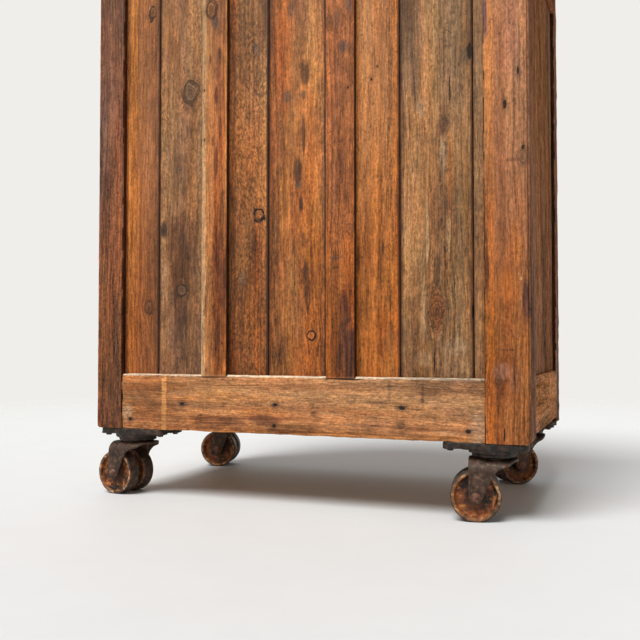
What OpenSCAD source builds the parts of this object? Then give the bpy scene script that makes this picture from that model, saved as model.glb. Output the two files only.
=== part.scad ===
// Printer's type cabinet on four twin-wheel swivel casters.
// The drawers face -Y and the boarded back faces +Y. All sizes are in millimetres.

/* [Carcase] */
// Width across the corner posts
cabinet_w = 880; // [820:1:1000]
// Depth across the corner posts
cabinet_d = 528; // [490:1:600]
// Width of the back post on the left, seen from the front
back_left_post_w = 78; // [70:1:100]
// Width of the back post on the right, seen from the front
back_right_post_w = 60; // [54:1:90]
// Depth of the back posts along the sides
back_post_d = 78; // [60:1:84]
// Width of the front posts
front_post_w = 32; // [30:1:40]
// Depth of the front posts along the sides
front_post_d = 60; // [50:1:70]
// Easing cut on the long edges of posts and rails
edge_ease = 2; // [1:0.5:3]
// Width of the open quirk on the back left post's outer corner
quirk_w = 3.5; // [2:0.5:5]
// Depth of the open quirk
quirk_depth = 6; // [3:0.5:8]

/* [Back] */
// Height of the bottom rail of the back
back_rail_h = 112; // [90:1:130]
// Height of the top rail of the back
back_top_rail_h = 100; // [80:1:120]
// Thickness of the back rails
back_rail_t = 25; // [24:0.5:30]
// Setback of the back rails and battens behind the posts' faces
back_rail_setback = 2; // [1:0.5:4]
// Worn chamfer along the bottom rail's top edge
rail_chamfer = 3; // [1:0.5:5]
// Thickness of the back boards
back_board_t = 12; // [10:0.5:13]
// Gap between neighbouring back boards
back_board_gap = 1.5; // [0.5:0.5:3]
// Thickness of the cover battens
batten_t = 10; // [8:0.5:12]
// Width of the right batten, seen from the front
right_batten_w = 57; // [40:1:64]
// Width of the left batten, seen from the front
left_batten_w = 58; // [40:1:64]

/* [Sides] */
// Setback of the side rails behind the posts' outer faces
side_rail_setback = 0; // [0:1:4]
// Thickness of the side rails
side_rail_t = 22; // [21:1:24]
// Height of the lower side rails
side_rail_h = 103; // [80:1:120]
// Height of the upper side rails
side_top_rail_h = 100; // [80:1:120]
// Rise of the lower side rails above the posts' feet
side_rail_lift = 11; // [5:1:20]
// Setback of the side panels behind the posts' outer faces
panel_setback = 8; // [7:1:10]
// Thickness of the side panels
panel_t = 8; // [6:0.5:9]
// How far panels and boards enter their grooves
tongue = 8; // [5:1:10]

/* [Top and floor] */
// Thickness of the top board
top_t = 25; // [20:1:30]
// Overhang of the top board on all four sides
top_overhang = 18; // [18:1:26]
// Thickness of the floor boards
floor_t = 18; // [14:1:22]

/* [Front] */
// Height of the bottom front rail
front_bottom_rail_h = 60; // [50:1:80]
// Height of the rail between the deep drawers and the type cases
middle_rail_h = 22; // [18:1:30]
// Height of the top front rail
front_top_rail_h = 43; // [36:1:60]
// Thickness of the front rails
front_rail_t = 22; // [19:1:25]
// Setback of the front rails behind the posts' faces
front_rail_setback = 2; // [0:0.5:4]

/* [Drawers] */
// Height of the space for one type case
case_pitch = 64; // [60:1:72]
// Height of a type case behind its front
case_box_h = 44; // [38:1:46]
// Height of the space for one deep drawer
deep_pitch = 222; // [190:1:250]
// Height of a deep drawer behind its front
deep_box_h = 168; // [140:1:175]
// Thickness of a drawer front
drawer_front_t = 19; // [16:1:22]
// Thickness of a type case's sides, back and bay dividers
case_wall_t = 8; // [6:1:10]
// Thickness of a type case's bottom
case_bottom_t = 5; // [4:0.5:6]
// Thickness of a deep drawer's sides and back
deep_wall_t = 12; // [10:1:14]
// Thickness of a deep drawer's bottom
deep_bottom_t = 8; // [6:1:10]
// Gap between a drawer front and what is beside it
front_gap = 1.5; // [1:0.25:2]
// Free space behind a closed drawer, up to the back posts
drawer_back_space = 12; // [8:1:30]
// Width of the runner under a drawer's side
runner_w = 12; // [11:1:15]
// Thickness of a runner
runner_t = 8; // [6:1:9]
// Height of a runner above the bottom of its space
runner_lift = 2; // [1:0.5:4]

/* [Cup pulls] */
// Length of the straight middle of a pull
pull_middle = 50; // [40:1:60]
// How far a pull stands out of the drawer front
pull_out = 17; // [15:0.5:17.5]
// Radius of a pull's curved shell
pull_shell_r = 20.5; // [19:0.5:22]
// Thickness of a pull's shell
pull_t = 1.8; // [1.5:0.1:2.5]
// Depth of the straight lip below the shell's curve
pull_lip = 4; // [3:0.5:6]
// Radius of the fixing ears at a pull's ends
pull_ear_r = 7; // [6:0.5:8]

/* [Caster wheels] */
// Diameter of a wheel
wheel_d = 89; // [80:1:96]
// Width of a wheel's tread
wheel_w = 28; // [24:1:30]
// Gap between the twin wheels' treads
wheel_gap = 16; // [12:1:20]
// Width of a wheel's rim face
rim_face_w = 5; // [4:0.5:6]
// Depth of the dish in each face of a wheel
dish_depth = 9; // [7:0.5:10]
// Diameter of a wheel's hub
hub_d = 26; // [22:1:30]
// Diameter of the axles
axle_d = 12; // [10:0.5:14]

/* [Caster forks] */
// Distance from the swivel axis back to the axle
trail = 32; // [26:1:36]
// Thickness of the bent fork strap
strap_t = 5; // [4:0.5:6]
// Headroom between the wheels and the strap
headroom = 15; // [13:1:24]
// Outer radius of the fork's bent shoulders
shoulder_r = 22; // [16:1:24]
// Width of a fork arm at the axle
arm_w = 25; // [23:1:30]
// Lean of a fork arm's leading edge, which widens the arm towards the crown
arm_lean = 23; // [12:1:27]
// Radius of the hollow curve between an arm and the crown
neck_r = 28; // [20:1:34]
// Depth of the crown's front edge
crown_edge = 6; // [5.5:0.5:9]
// Slope of the crown's underside behind its front edge
crown_slope = 17; // [10:1:22]
// Reach of the crown in front of the swivel axis
crown_reach = 43; // [38:1:46]
// Diameter of the kingpins
kingpin_d = 16; // [14:0.5:20]

/* [Caster plates] */
// Length of a plate along the front and back
plate_l = 150; // [130:1:154]
// Offset of a plate's middle from the swivel axis, towards the middle of the cabinet
plate_offset = 10; // [6:1:14]
// Width of a plate along the sides
plate_w = 88; // [80:1:92]
// Thickness of a plate's wings
wing_t = 12; // [8:1:14]
// Thickness of a plate at its round boss
boss_t = 20; // [17:1:24]
// Diameter of the round boss
boss_d = 92; // [86:1:98]
// Height of the swivel bearing between the boss and the fork
bearing_h = 9; // [6:0.5:11]
// Diameter of the swivel bearing's lower race, on the fork
race_d = 56; // [46:1:64]
// Diameter of the swivel bearing's upper race, on the plate
upper_race_d = 76; // [66:1:82]
// Distance from a plate's swivel axis to the outer face of the side
swivel_inset_x = 70; // [70:1:90]
// Distance from a plate's swivel axis to the face of the front or back
swivel_inset_y = 46; // [46:1:60]
// Rest angle of the back left caster about its swivel axis
back_left_turn = 10; // [-20:1:40]
// Rest angle of the back right caster
back_right_turn = -8; // [-20:1:20]
// Rest angle of the front left caster
front_left_turn = 35; // [-20:1:40]
// Rest angle of the front right caster
front_right_turn = 15; // [-20:1:20]

/* [Hidden] */
$fn = 48;
case_count = 7;
deep_count = 2;
bay_count = 3;

// Clearances
fit_gap = 0.2;      // around a board in its groove
joint_gap = 0.1;    // between the boards of one drawer
slide_gap = 0.3;    // between a drawer and its runner
stop_gap = 0.5;     // between a closed front and the runners' ends
shaft_gap = 0.05;   // all round a shaft in its bore
turn_gap = 0.4;     // between faces that turn past each other
wheel_side_gap = 1; // between a wheel's tread and the fork arm

// Relative widths of the boards that fill the back, from its right to its left
board_share = [80, 132, 113, 151, 112, 134, 20];

// Rounding of the caster plate's corners and the hollows in its long sides
plate_corner_r = 14;
plate_hollow_r = 34;
plate_hollow_depth = 9;
boss_taper = 2;
lower_race_h = 2.6;
rivet_r = 8.5;
rivet_h = 4.5;
kingpin_head_r = 13;
kingpin_head_t = 5;
kingpin_head_taper = 2;
tread_ease = 1.6;
hub_taper = 2;    // of a wheel's hub, from its end to the web
dish_slope = 4;   // from a wheel's rim face in to the web
pull_hole_r = 2;

half_w = cabinet_w / 2;
half_d = cabinet_d / 2;

// Heights, from the floor up
axle_z = wheel_d / 2;
crown_z = wheel_d + headroom + strap_t;
base_z = crown_z + bearing_h + boss_t;
deep_z = base_z + front_bottom_rail_h;
middle_rail_z = deep_z + deep_count * deep_pitch;
case_z = middle_rail_z + middle_rail_h;
front_top_rail_z = case_z + case_count * case_pitch;
carcase_top = front_top_rail_z + front_top_rail_h;
back_rail_z = base_z + back_rail_h;
back_top_rail_z = carcase_top - back_top_rail_h;
side_rail_z = base_z + side_rail_lift;
side_rail_top = side_rail_z + side_rail_h;
side_top_rail_z = carcase_top - side_top_rail_h;

// Planes across the width
opening_x = half_w - front_post_w;
side_rail_x = half_w - side_rail_setback;
side_rail_in_x = side_rail_x - side_rail_t;
panel_x = half_w - panel_setback;
back_left_x = -half_w + back_left_post_w;
back_right_x = half_w - back_right_post_w;

// Planes along the depth
back_rail_y = half_d - back_rail_setback;
back_rail_in_y = back_rail_y - back_rail_t;
board_y = back_rail_y - batten_t;
back_post_y = half_d - back_post_d;
front_post_y = -half_d + front_post_d;
front_rail_y = -half_d + front_rail_setback;
front_rail_in_y = front_rail_y + front_rail_t;
drawer_front_in_y = -half_d + drawer_front_t;
drawer_back_y = back_post_y - drawer_back_space;

// The fork straddles both wheels
wheel_offset = (wheel_gap + wheel_w) / 2;
fork_in = wheel_gap / 2 + wheel_w + wheel_side_gap;
fork_out = fork_in + strap_t;

function sum(v, n) = n == 0 ? 0 : v[n - 1] + sum(v, n - 1);
back_span = back_right_x - back_left_x;

// Place of the joint after the n-th back board, counted from the right post
function board_joint(n) = back_right_x - back_span * sum(board_share, n) / sum(board_share, len(board_share));

// A box between two corners
module block(low, high) {
    translate(low) cube(high - low);
}

// A drawing in Y and Z, drawn out along X
module along_x(x0, x1) {
    translate([x0, 0, 0]) rotate([90, 0, 90]) linear_extrude(x1 - x0) children();
}

// A drawing in X and Z, drawn out along Y
module along_y(y0, y1) {
    translate([0, y1, 0]) rotate([90, 0, 0]) linear_extrude(y1 - y0) children();
}

// A drawing in X and Y, drawn out upwards
module along_z(z0, z1) {
    translate([0, 0, z0]) linear_extrude(z1 - z0) children();
}

// A rectangle between two corners with its four corners cut back
module eased(low, high, e) {
    polygon([
        [low.x + e, low.y], [high.x - e, low.y], [high.x, low.y + e], [high.x, high.y - e],
        [high.x - e, high.y], [low.x + e, high.y], [low.x, high.y - e], [low.x, low.y + e]
    ]);
}

// Carcase

module top_board() {
    low = carcase_top;
    r = top_t / 2;
    x = half_w + top_overhang;
    y = half_d + top_overhang;
    color("saddlebrown") intersection() {
        along_x(-x, x) half_round_edges(y, low, r);
        along_y(-y, y) half_round_edges(x, low, r);
    }
}

// Section of a board with a half-round nosing on both edges
module half_round_edges(reach, low, r) {
    translate([-reach + r, low]) square([2 * (reach - r), 2 * r]);
    for (side = [-1, 1]) translate([side * (reach - r), low + r]) circle(r);
}

module floor_boards() {
    count = 3;
    step = (back_post_y - front_post_y) / count;
    z = [base_z, base_z + floor_t];
    color("peru") {
        for (i = [0 : count - 1])
            block([-side_rail_in_x, front_post_y + i * step + (i > 0 ? back_board_gap : 0), z[0]],
                  [side_rail_in_x, front_post_y + (i + 1) * step, z[1]]);
        block([back_left_x, back_post_y + fit_gap, z[0]], [back_right_x, back_rail_in_y, z[1]]);
        block([-opening_x, front_rail_in_y, z[0]], [opening_x, front_post_y - fit_gap, z[1]]);
    }
}

// Plan of a groove that a side panel's edge enters, in the face at y
module panel_groove(side, y, into) {
    x = [panel_x - panel_t - fit_gap, panel_x + fit_gap];
    depth = tongue + fit_gap;
    translate([side > 0 ? x[0] : -x[1], into > 0 ? y : y - depth]) square([x[1] - x[0], depth]);
}

// Plan of a groove that the outermost back board enters, in the face at x
module board_groove(x, into) {
    depth = tongue + fit_gap;
    translate([into > 0 ? x : x - depth, board_y - back_board_t - fit_gap])
        square([depth, back_board_t + 2 * fit_gap]);
}

module back_left_post() {
    color("peru") along_z(base_z, carcase_top) difference() {
        eased([-half_w, back_post_y], [back_left_x, half_d], edge_ease);
        panel_groove(-1, back_post_y, 1);
        board_groove(back_left_x, -1);
        translate([-half_w - 1, half_d - quirk_depth]) square([quirk_w + 1, quirk_depth + 1]);
    }
}

module back_right_post() {
    color("sienna") along_z(base_z, carcase_top) difference() {
        eased([back_right_x, back_post_y], [half_w, half_d], edge_ease);
        panel_groove(1, back_post_y, 1);
        board_groove(back_right_x, 1);
    }
}

module front_post(side) {
    x = side > 0 ? [opening_x, half_w] : [-half_w, -opening_x];
    color("sienna") along_z(base_z, carcase_top) difference() {
        eased([x[0], -half_d], [x[1], front_post_y], edge_ease);
        panel_groove(side, front_post_y, -1);
    }
}

// Section of the groove that takes the ends of the back boards
module board_end_groove(z, into) {
    depth = tongue + fit_gap;
    translate([board_y - back_board_t - fit_gap, into > 0 ? z : z - depth])
        square([back_board_t + 2 * fit_gap, depth]);
}

module back_bottom_rail() {
    color("peru") along_x(back_left_x, back_right_x) difference() {
        polygon([
            [back_rail_in_y, base_z], [back_rail_y, base_z], [back_rail_y, back_rail_z - rail_chamfer],
            [back_rail_y - rail_chamfer, back_rail_z], [back_rail_in_y, back_rail_z]
        ]);
        board_end_groove(back_rail_z, -1);
    }
}

module back_top_rail() {
    color("peru") along_x(back_left_x, back_right_x) difference() {
        translate([back_rail_in_y, back_top_rail_z]) square([back_rail_t, back_top_rail_h]);
        board_end_groove(back_top_rail_z, 1);
    }
}

// The n-th back board, counted from the right post
module back_board(n) {
    count = len(board_share);
    right = n == 1 ? back_right_x + tongue : board_joint(n - 1) - back_board_gap / 2;
    left = n == count ? back_left_x - tongue : board_joint(n) + back_board_gap / 2;
    along_z(back_rail_z - tongue, back_top_rail_z + tongue)
        eased([left, board_y - back_board_t], [right, board_y], edge_ease / 2);
}

module back_boards_right() {
    color("chocolate") for (n = [1, 2]) back_board(n);
}

module back_boards_middle() {
    color("sienna") for (n = [3 : 5]) back_board(n);
}

module back_boards_left() {
    color("rosybrown") for (n = [6, 7]) back_board(n);
}

// A batten that covers the joint after the n-th back board
module batten(n, w) {
    x = board_joint(n);
    along_z(back_rail_z, back_top_rail_z) eased([x - w / 2, board_y], [x + w / 2, back_rail_y], edge_ease);
}

module back_right_batten() {
    color("brown") batten(2, right_batten_w);
}

module back_left_batten() {
    color("brown") batten(4, left_batten_w);
}

module side_rails(side) {
    x = side > 0 ? [side_rail_in_x, side_rail_x] : [-side_rail_x, -side_rail_in_x];
    groove_x = side > 0 ? panel_x - panel_t - fit_gap : -panel_x - fit_gap;
    groove = [panel_t + 2 * fit_gap, tongue + fit_gap];
    outer = side > 0 ? x[1] : x[0];
    color("sienna") along_y(front_post_y, back_post_y) {
        difference() {
            translate([x[0], side_rail_z]) square([side_rail_t, side_rail_h]);
            translate([groove_x, side_rail_top - groove.y]) square(groove + [0, 1]);
            translate([outer, side_rail_top]) rotate(45) square(2 * edge_ease, center = true);
        }
        difference() {
            translate([x[0], side_top_rail_z]) square([side_rail_t, side_top_rail_h]);
            translate([groove_x, side_top_rail_z - 1]) square(groove + [0, 1]);
        }
    }
}

module side_panel(side) {
    x = side > 0 ? [panel_x - panel_t, panel_x] : [-panel_x, -panel_x + panel_t];
    color("saddlebrown")
        block([x[0], front_post_y - tongue, side_rail_top - tongue],
              [x[1], back_post_y + tongue, side_top_rail_z + tongue]);
}

module front_rails() {
    color("sienna") for (z = [
        [base_z, deep_z], [middle_rail_z, case_z], [front_top_rail_z, carcase_top]
    ]) along_x(-opening_x, opening_x)
        eased([front_rail_y, z[0]], [front_rail_in_y, z[1]], edge_ease / 2);
}

// The strips that carry the drawers, notched over the front post
module runners(side) {
    count = deep_count + case_count;
    spaces = [for (i = [1 : count]) i > deep_count ? case_low(i - deep_count) : deep_low(i)];
    color("tan") for (low = spaces) along_z(low + runner_lift, low + runner_lift + runner_t) {
        x = side > 0 ? opening_x - runner_w : -opening_x;
        full_x = side > 0 ? opening_x - runner_w : -side_rail_in_x;
        translate([x, drawer_front_in_y + stop_gap])
            square([runner_w, front_post_y - drawer_front_in_y - stop_gap]);
        translate([full_x, front_post_y])
            square([side_rail_in_x - opening_x + runner_w, back_post_y - front_post_y]);
    }
}

// Drawers. The lowest of each kind is number 1.

function case_low(i) = case_z + (i - 1) * case_pitch;
function deep_low(i) = deep_z + (i - 1) * deep_pitch;

// A drawer made of boards. Dividers split it across its width into bays.
module drawer(low, pitch, box_h, wall, bottom, bays) {
    x = opening_x - front_gap;
    in_x = x - wall - joint_gap;
    z = low + runner_lift + runner_t + slide_gap;
    y = drawer_front_in_y + joint_gap;
    in_y = drawer_back_y - wall - joint_gap;
    bay_w = (2 * (x - wall) - (bays - 1) * wall) / bays;
    along_x(-x, x) eased([-half_d, low + front_gap], [drawer_front_in_y, low + pitch - front_gap], 1);
    for (side = [-1, 1])
        block([side > 0 ? x - wall : -x, y, z], [side > 0 ? x : -x + wall, drawer_back_y, z + box_h]);
    block([-in_x, drawer_back_y - wall, z], [in_x, drawer_back_y, z + box_h]);
    block([-in_x, y, z], [in_x, in_y, z + bottom]);
    if (bays > 1) for (i = [1 : bays - 1]) {
        left = -x + wall + i * bay_w + (i - 1) * wall;
        block([left, y, z + bottom + joint_gap], [left + wall, in_y, z + box_h]);
    }
}

module type_case(i) {
    color("burlywood") drawer(case_low(i), case_pitch, case_box_h, case_wall_t, case_bottom_t, bay_count);
}

module deep_drawer(i) {
    color("burlywood") drawer(deep_low(i), deep_pitch, deep_box_h, deep_wall_t, deep_bottom_t, 1);
}

// Half section of a pull's shell, out from the drawer front and up
module pull_section() {
    centre = [pull_out - pull_shell_r, 0];
    difference() {
        union() {
            intersection() {
                translate(centre) circle(pull_shell_r);
                square(pull_shell_r);
            }
            translate([0, -pull_lip]) square([pull_out, pull_lip]);
        }
        translate(centre) circle(pull_shell_r - pull_t);
        translate([-1, -pull_lip - 1]) square([pull_out - pull_t + 1, pull_lip + 1]);
    }
}

module cup_pull(low, pitch) {
    shell_top = sqrt(pow(pull_shell_r, 2) - pow(pull_shell_r - pull_out, 2));
    lift = (shell_top - pull_lip) / 2;
    ear_x = pull_middle / 2 + pull_out + pull_ear_r / 2;
    color("dimgray") translate([0, -half_d, low + pitch / 2 - lift]) {
        rotate([90, 0, -90]) linear_extrude(pull_middle, center = true) pull_section();
        translate([pull_middle / 2, 0, 0]) rotate([0, 0, -90]) rotate_extrude(angle = 90) pull_section();
        translate([-pull_middle / 2, 0, 0]) rotate([0, 0, 180]) rotate_extrude(angle = 90) pull_section();
        for (side = [-1, 1]) rotate([90, 0, 0]) linear_extrude(pull_t) difference() {
            fixing_ear(side, ear_x);
            translate([side * ear_x, 0]) circle(pull_hole_r);
        }
    }
}

// Outline of a fixing ear: a round end and its neck
module fixing_ear(side, x) {
    translate([side * x, 0]) circle(pull_ear_r);
    neck = [pull_ear_r / 2 + pull_t, 2 * pull_lip];
    translate([side > 0 ? x - neck.x : -x, -pull_lip]) square(neck);
}

// Casters. Each is drawn with its swivel axis on Z and its wheels trailing towards +X.

module at_caster(x_side, y_side, turn) {
    translate([x_side * (half_w - swivel_inset_x), y_side * (half_d - swivel_inset_y), 0])
        rotate(turn) children();
}

module caster_plate(x_side) {
    x = plate_l / 2;
    y = plate_w / 2;
    r = plate_corner_r;
    color("dimgray") difference() {
        union() {
            translate([-x_side * plate_offset, 0, 0]) along_z(base_z - wing_t, base_z) difference() {
                union() {
                    translate([-x + r, -y]) square([plate_l - 2 * r, plate_w]);
                    translate([-x, -y + r]) square([plate_l, plate_w - 2 * r]);
                    for (i = [-1, 1], j = [-1, 1]) translate([i * (x - r), j * (y - r)]) circle(r);
                }
                for (i = [-1, 1])
                    translate([i * (x + plate_hollow_r - plate_hollow_depth), 0]) circle(plate_hollow_r);
            }
            translate([0, 0, base_z - boss_t])
                cylinder(r1 = boss_d / 2 - boss_taper, r2 = boss_d / 2, h = boss_t);
            translate([0, 0, crown_z + lower_race_h])
                cylinder(d = upper_race_d, h = bearing_h - lower_race_h + 1);
        }
        cylinder(d = kingpin_d + 2 * shaft_gap, h = base_z + 1);
    }
}

module kingpin() {
    seat = crown_z - strap_t - turn_gap;
    translate([0, 0, seat]) cylinder(d = kingpin_d, h = base_z - seat);
    translate([0, 0, seat - kingpin_head_t])
        cylinder(r1 = kingpin_head_r - kingpin_head_taper, r2 = kingpin_head_r, h = kingpin_head_t);
}

// The fork strap seen from the front: two arms joined by a bent crown
module strap_section(out, top, r) {
    translate([-out, 0]) square([2 * out, top - r]);
    translate([-out + r, 0]) square([2 * (out - r), top]);
    for (side = [-1, 1]) translate([side * (out - r), top - r]) circle(r);
}

// The fork seen from the side: arms that widen into the crown along a hollow curve
module fork_side() {
    r = arm_w / 2;
    axle = [trail, axle_z];
    tip = [-crown_reach, crown_z - crown_edge];
    arm_out = -[cos(arm_lean), sin(arm_lean)];
    crown_out = -[sin(crown_slope), cos(crown_slope)];
    foot = axle + r * arm_out;
    // the hollow's centre lies neck_r away from the arm's leading edge and from the crown's underside
    from_arm = neck_r + arm_out * foot;
    from_crown = neck_r + crown_out * tip;
    det = arm_out.x * crown_out.y - arm_out.y * crown_out.x;
    neck = [from_arm * crown_out.y - from_crown * arm_out.y,
            from_crown * arm_out.x - from_arm * crown_out.x] / det;
    along_arm = [sin(arm_lean), -cos(arm_lean)] * crown_z;
    along_crown = [-cos(crown_slope), sin(crown_slope)] * crown_z;
    on_arm = neck - neck_r * arm_out;
    on_crown = neck - neck_r * crown_out;
    translate(axle) circle(r);
    difference() {
        polygon([foot, axle, [trail + r, axle_z], [trail + r, crown_z], [tip.x, crown_z], [tip.x, foot.y]]);
        translate(neck) circle(neck_r);
        polygon([neck, on_arm, on_arm + along_arm, neck + along_arm,
                 neck + along_crown, on_crown + along_crown, on_crown]);
    }
}

module caster_fork() {
    outer_x = trail + arm_w / 2;
    color("dimgray") difference() {
        union() {
            intersection() {
                along_y(-fork_out, fork_out) fork_side();
                along_x(-crown_reach, outer_x) difference() {
                    strap_section(fork_out, crown_z, shoulder_r);
                    strap_section(fork_in, crown_z - strap_t, shoulder_r - strap_t);
                }
                union() {
                    cylinder(r = crown_reach, h = crown_z);
                    block([0, -fork_out, 0], [outer_x, fork_out, crown_z]);
                }
            }
            translate([0, 0, crown_z - strap_t]) cylinder(d = race_d, h = strap_t + lower_race_h - turn_gap);
        }
        cylinder(d = kingpin_d + 2 * shaft_gap, h = base_z);
        translate([trail, 0, axle_z]) rotate([90, 0, 0])
            cylinder(d = axle_d + 2 * shaft_gap, h = 2 * fork_out + 2, center = true);
    }
}

module caster_axle() {
    cap_r = (pow(rivet_r, 2) + pow(rivet_h, 2)) / (2 * rivet_h);
    color("rosybrown") translate([trail, 0, axle_z]) {
        rotate([90, 0, 0]) cylinder(d = axle_d, h = 2 * fork_out, center = true);
        for (side = [-1, 1]) rotate([-side * 90, 0, 0]) translate([0, 0, fork_out]) intersection() {
            translate([0, 0, rivet_h - cap_r]) sphere(cap_r);
            cylinder(r = rivet_r, h = rivet_h);
        }
    }
}

// Half section of a wheel: radius, then distance along the axle from the tread's middle
module wheel_section() {
    r = wheel_d / 2;
    w = wheel_w / 2;
    web = w - dish_depth;
    bore = axle_d / 2 + shaft_gap;
    hub = hub_d / 2;
    hub_foot = hub + hub_taper;
    rim_in = r - tread_ease - rim_face_w;
    dish_end = rim_in - dish_slope;
    outer_hub = w + wheel_side_gap - turn_gap;
    inner_hub = w + wheel_gap / 2 - turn_gap;
    polygon([
        [bore, -inner_hub], [hub - hub_taper, -inner_hub], [hub, -w], [hub_foot, -web], [dish_end, -web],
        [rim_in, -w], [r - tread_ease, -w], [r, -w + tread_ease], [r, w - tread_ease],
        [r - tread_ease, w], [rim_in, w], [dish_end, web], [hub_foot, web], [hub - hub_taper / 2, outer_hub],
        [bore, outer_hub]
    ]);
}

module caster_wheel(side) {
    color("sienna") translate([trail, side * wheel_offset, axle_z]) rotate([-side * 90, 0, 0])
        rotate_extrude() wheel_section();
}

top_board();
floor_boards();
back_left_post();
back_right_post();
front_post(-1);  // front_left_post
front_post(1);  // front_right_post
back_bottom_rail();
back_top_rail();
back_boards_right();
back_boards_middle();
back_boards_left();
back_right_batten();
back_left_batten();
side_rails(-1);  // left_side_rails
side_rails(1);  // right_side_rails
side_panel(-1);  // left_side_panel
side_panel(1);  // right_side_panel
front_rails();
runners(-1);  // left_runners
runners(1);  // right_runners
type_case(1);  // type_case_1
type_case(2);  // type_case_2
type_case(3);  // type_case_3
type_case(4);  // type_case_4
type_case(5);  // type_case_5
type_case(6);  // type_case_6
type_case(7);  // type_case_7
deep_drawer(1);  // deep_drawer_1
deep_drawer(2);  // deep_drawer_2
cup_pull(case_low(1), case_pitch);  // type_case_1_pull
cup_pull(case_low(2), case_pitch);  // type_case_2_pull
cup_pull(case_low(3), case_pitch);  // type_case_3_pull
cup_pull(case_low(4), case_pitch);  // type_case_4_pull
cup_pull(case_low(5), case_pitch);  // type_case_5_pull
cup_pull(case_low(6), case_pitch);  // type_case_6_pull
cup_pull(case_low(7), case_pitch);  // type_case_7_pull
cup_pull(deep_low(1), deep_pitch);  // deep_drawer_1_pull
cup_pull(deep_low(2), deep_pitch);  // deep_drawer_2_pull
at_caster(-1, 1, 0) caster_plate(-1);  // back_left_caster_plate
at_caster(1, 1, 0) caster_plate(1);  // back_right_caster_plate
at_caster(-1, -1, 0) caster_plate(-1);  // front_left_caster_plate
at_caster(1, -1, 0) caster_plate(1);  // front_right_caster_plate
for (i = [-1, 1], j = [-1, 1]) color("gray") at_caster(i, j, 0) kingpin();  // caster_kingpins
at_caster(-1, 1, back_left_turn) caster_fork();  // back_left_caster_fork
at_caster(1, 1, back_right_turn) caster_fork();  // back_right_caster_fork
at_caster(-1, -1, front_left_turn) caster_fork();  // front_left_caster_fork
at_caster(1, -1, front_right_turn) caster_fork();  // front_right_caster_fork
at_caster(-1, 1, back_left_turn) caster_axle();  // back_left_caster_axle
at_caster(1, 1, back_right_turn) caster_axle();  // back_right_caster_axle
at_caster(-1, -1, front_left_turn) caster_axle();  // front_left_caster_axle
at_caster(1, -1, front_right_turn) caster_axle();  // front_right_caster_axle
at_caster(-1, 1, back_left_turn) caster_wheel(1);  // back_left_caster_outer_wheel
at_caster(-1, 1, back_left_turn) caster_wheel(-1);  // back_left_caster_inner_wheel
at_caster(1, 1, back_right_turn) caster_wheel(1);  // back_right_caster_outer_wheel
at_caster(1, 1, back_right_turn) caster_wheel(-1);  // back_right_caster_inner_wheel
at_caster(-1, -1, front_left_turn) caster_wheel(-1);  // front_left_caster_outer_wheel
at_caster(-1, -1, front_left_turn) caster_wheel(1);  // front_left_caster_inner_wheel
at_caster(1, -1, front_right_turn) caster_wheel(-1);  // front_right_caster_outer_wheel
at_caster(1, -1, front_right_turn) caster_wheel(1);  // front_right_caster_inner_wheel
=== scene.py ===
import math
import random

import bpy
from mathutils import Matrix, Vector


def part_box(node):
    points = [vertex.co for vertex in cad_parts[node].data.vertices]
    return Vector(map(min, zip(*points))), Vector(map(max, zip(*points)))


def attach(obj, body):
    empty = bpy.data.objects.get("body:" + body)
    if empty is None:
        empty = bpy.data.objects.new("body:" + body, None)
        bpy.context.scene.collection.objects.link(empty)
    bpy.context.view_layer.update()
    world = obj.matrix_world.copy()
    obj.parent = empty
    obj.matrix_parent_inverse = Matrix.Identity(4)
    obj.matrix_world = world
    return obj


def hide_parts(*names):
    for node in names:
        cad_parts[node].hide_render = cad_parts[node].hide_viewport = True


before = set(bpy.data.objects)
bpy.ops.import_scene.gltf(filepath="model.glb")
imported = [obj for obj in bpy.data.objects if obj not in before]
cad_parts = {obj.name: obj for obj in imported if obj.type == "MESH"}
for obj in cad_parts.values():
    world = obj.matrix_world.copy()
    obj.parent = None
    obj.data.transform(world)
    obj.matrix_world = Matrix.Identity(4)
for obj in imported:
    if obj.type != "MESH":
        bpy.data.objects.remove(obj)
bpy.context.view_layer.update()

mm = 0.001

# Camera, at the height of the cabinet's lower edge and turned a little to the side
cameraView = {
    "place": (-0.6145, 1.7085, 0.3089),
    "turn": 21.12,
    "tilt": 1.71,
    "lens": 46.63,
    "sensor": 36,
    "clip": (0.05, 100),
}
bpy.ops.object.camera_add(
    location=cameraView["place"],
    rotation=(math.radians(90 + cameraView["tilt"]), 0, math.radians(180 + cameraView["turn"])),
)
viewCamera = bpy.context.object
viewCamera.name = "viewCamera"
viewCamera.data.lens = cameraView["lens"]
viewCamera.data.sensor_width = cameraView["sensor"]
viewCamera.data.clip_start, viewCamera.data.clip_end = cameraView["clip"]
bpy.context.scene.camera = viewCamera
bpy.context.scene.view_settings.view_transform = "Standard"
print("camera placed")


# Small helpers for node trees. Most find their tree through the first socket that they are given.

def tone(red, green, blue):
    # a colour as the eye reads it, from 0 to 255, turned into the linear colour that a socket takes
    channels = [value / 255 for value in (red, green, blue)]
    linear = [c / 12.92 if c <= 0.04045 else ((c + 0.055) / 1.055) ** 2.4 for c in channels]
    return (*linear, 1)


def setInputs(node, values):
    for key, value in values.items():
        if isinstance(value, bpy.types.NodeSocket):
            node.id_data.links.new(value, node.inputs[key])
        else:
            node.inputs[key].default_value = value


def addNode(tree, kind, values=None, **settings):
    node = tree.nodes.new(kind)
    for key, value in settings.items():
        setattr(node, key, value)
    setInputs(node, values or {})
    return node


def joinNode(kind, values, **settings):
    tree = next(value.id_data for value in values.values() if isinstance(value, bpy.types.NodeSocket))
    return addNode(tree, kind, values, **settings)


def calc(operation, a, b=0.0, c=0.0):
    return joinNode("ShaderNodeMath", {0: a, 1: b, 2: c}, operation=operation).outputs[0]


def add(a, b, *more):
    total = calc("ADD", a, b)
    return add(total, *more) if more else total


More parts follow.
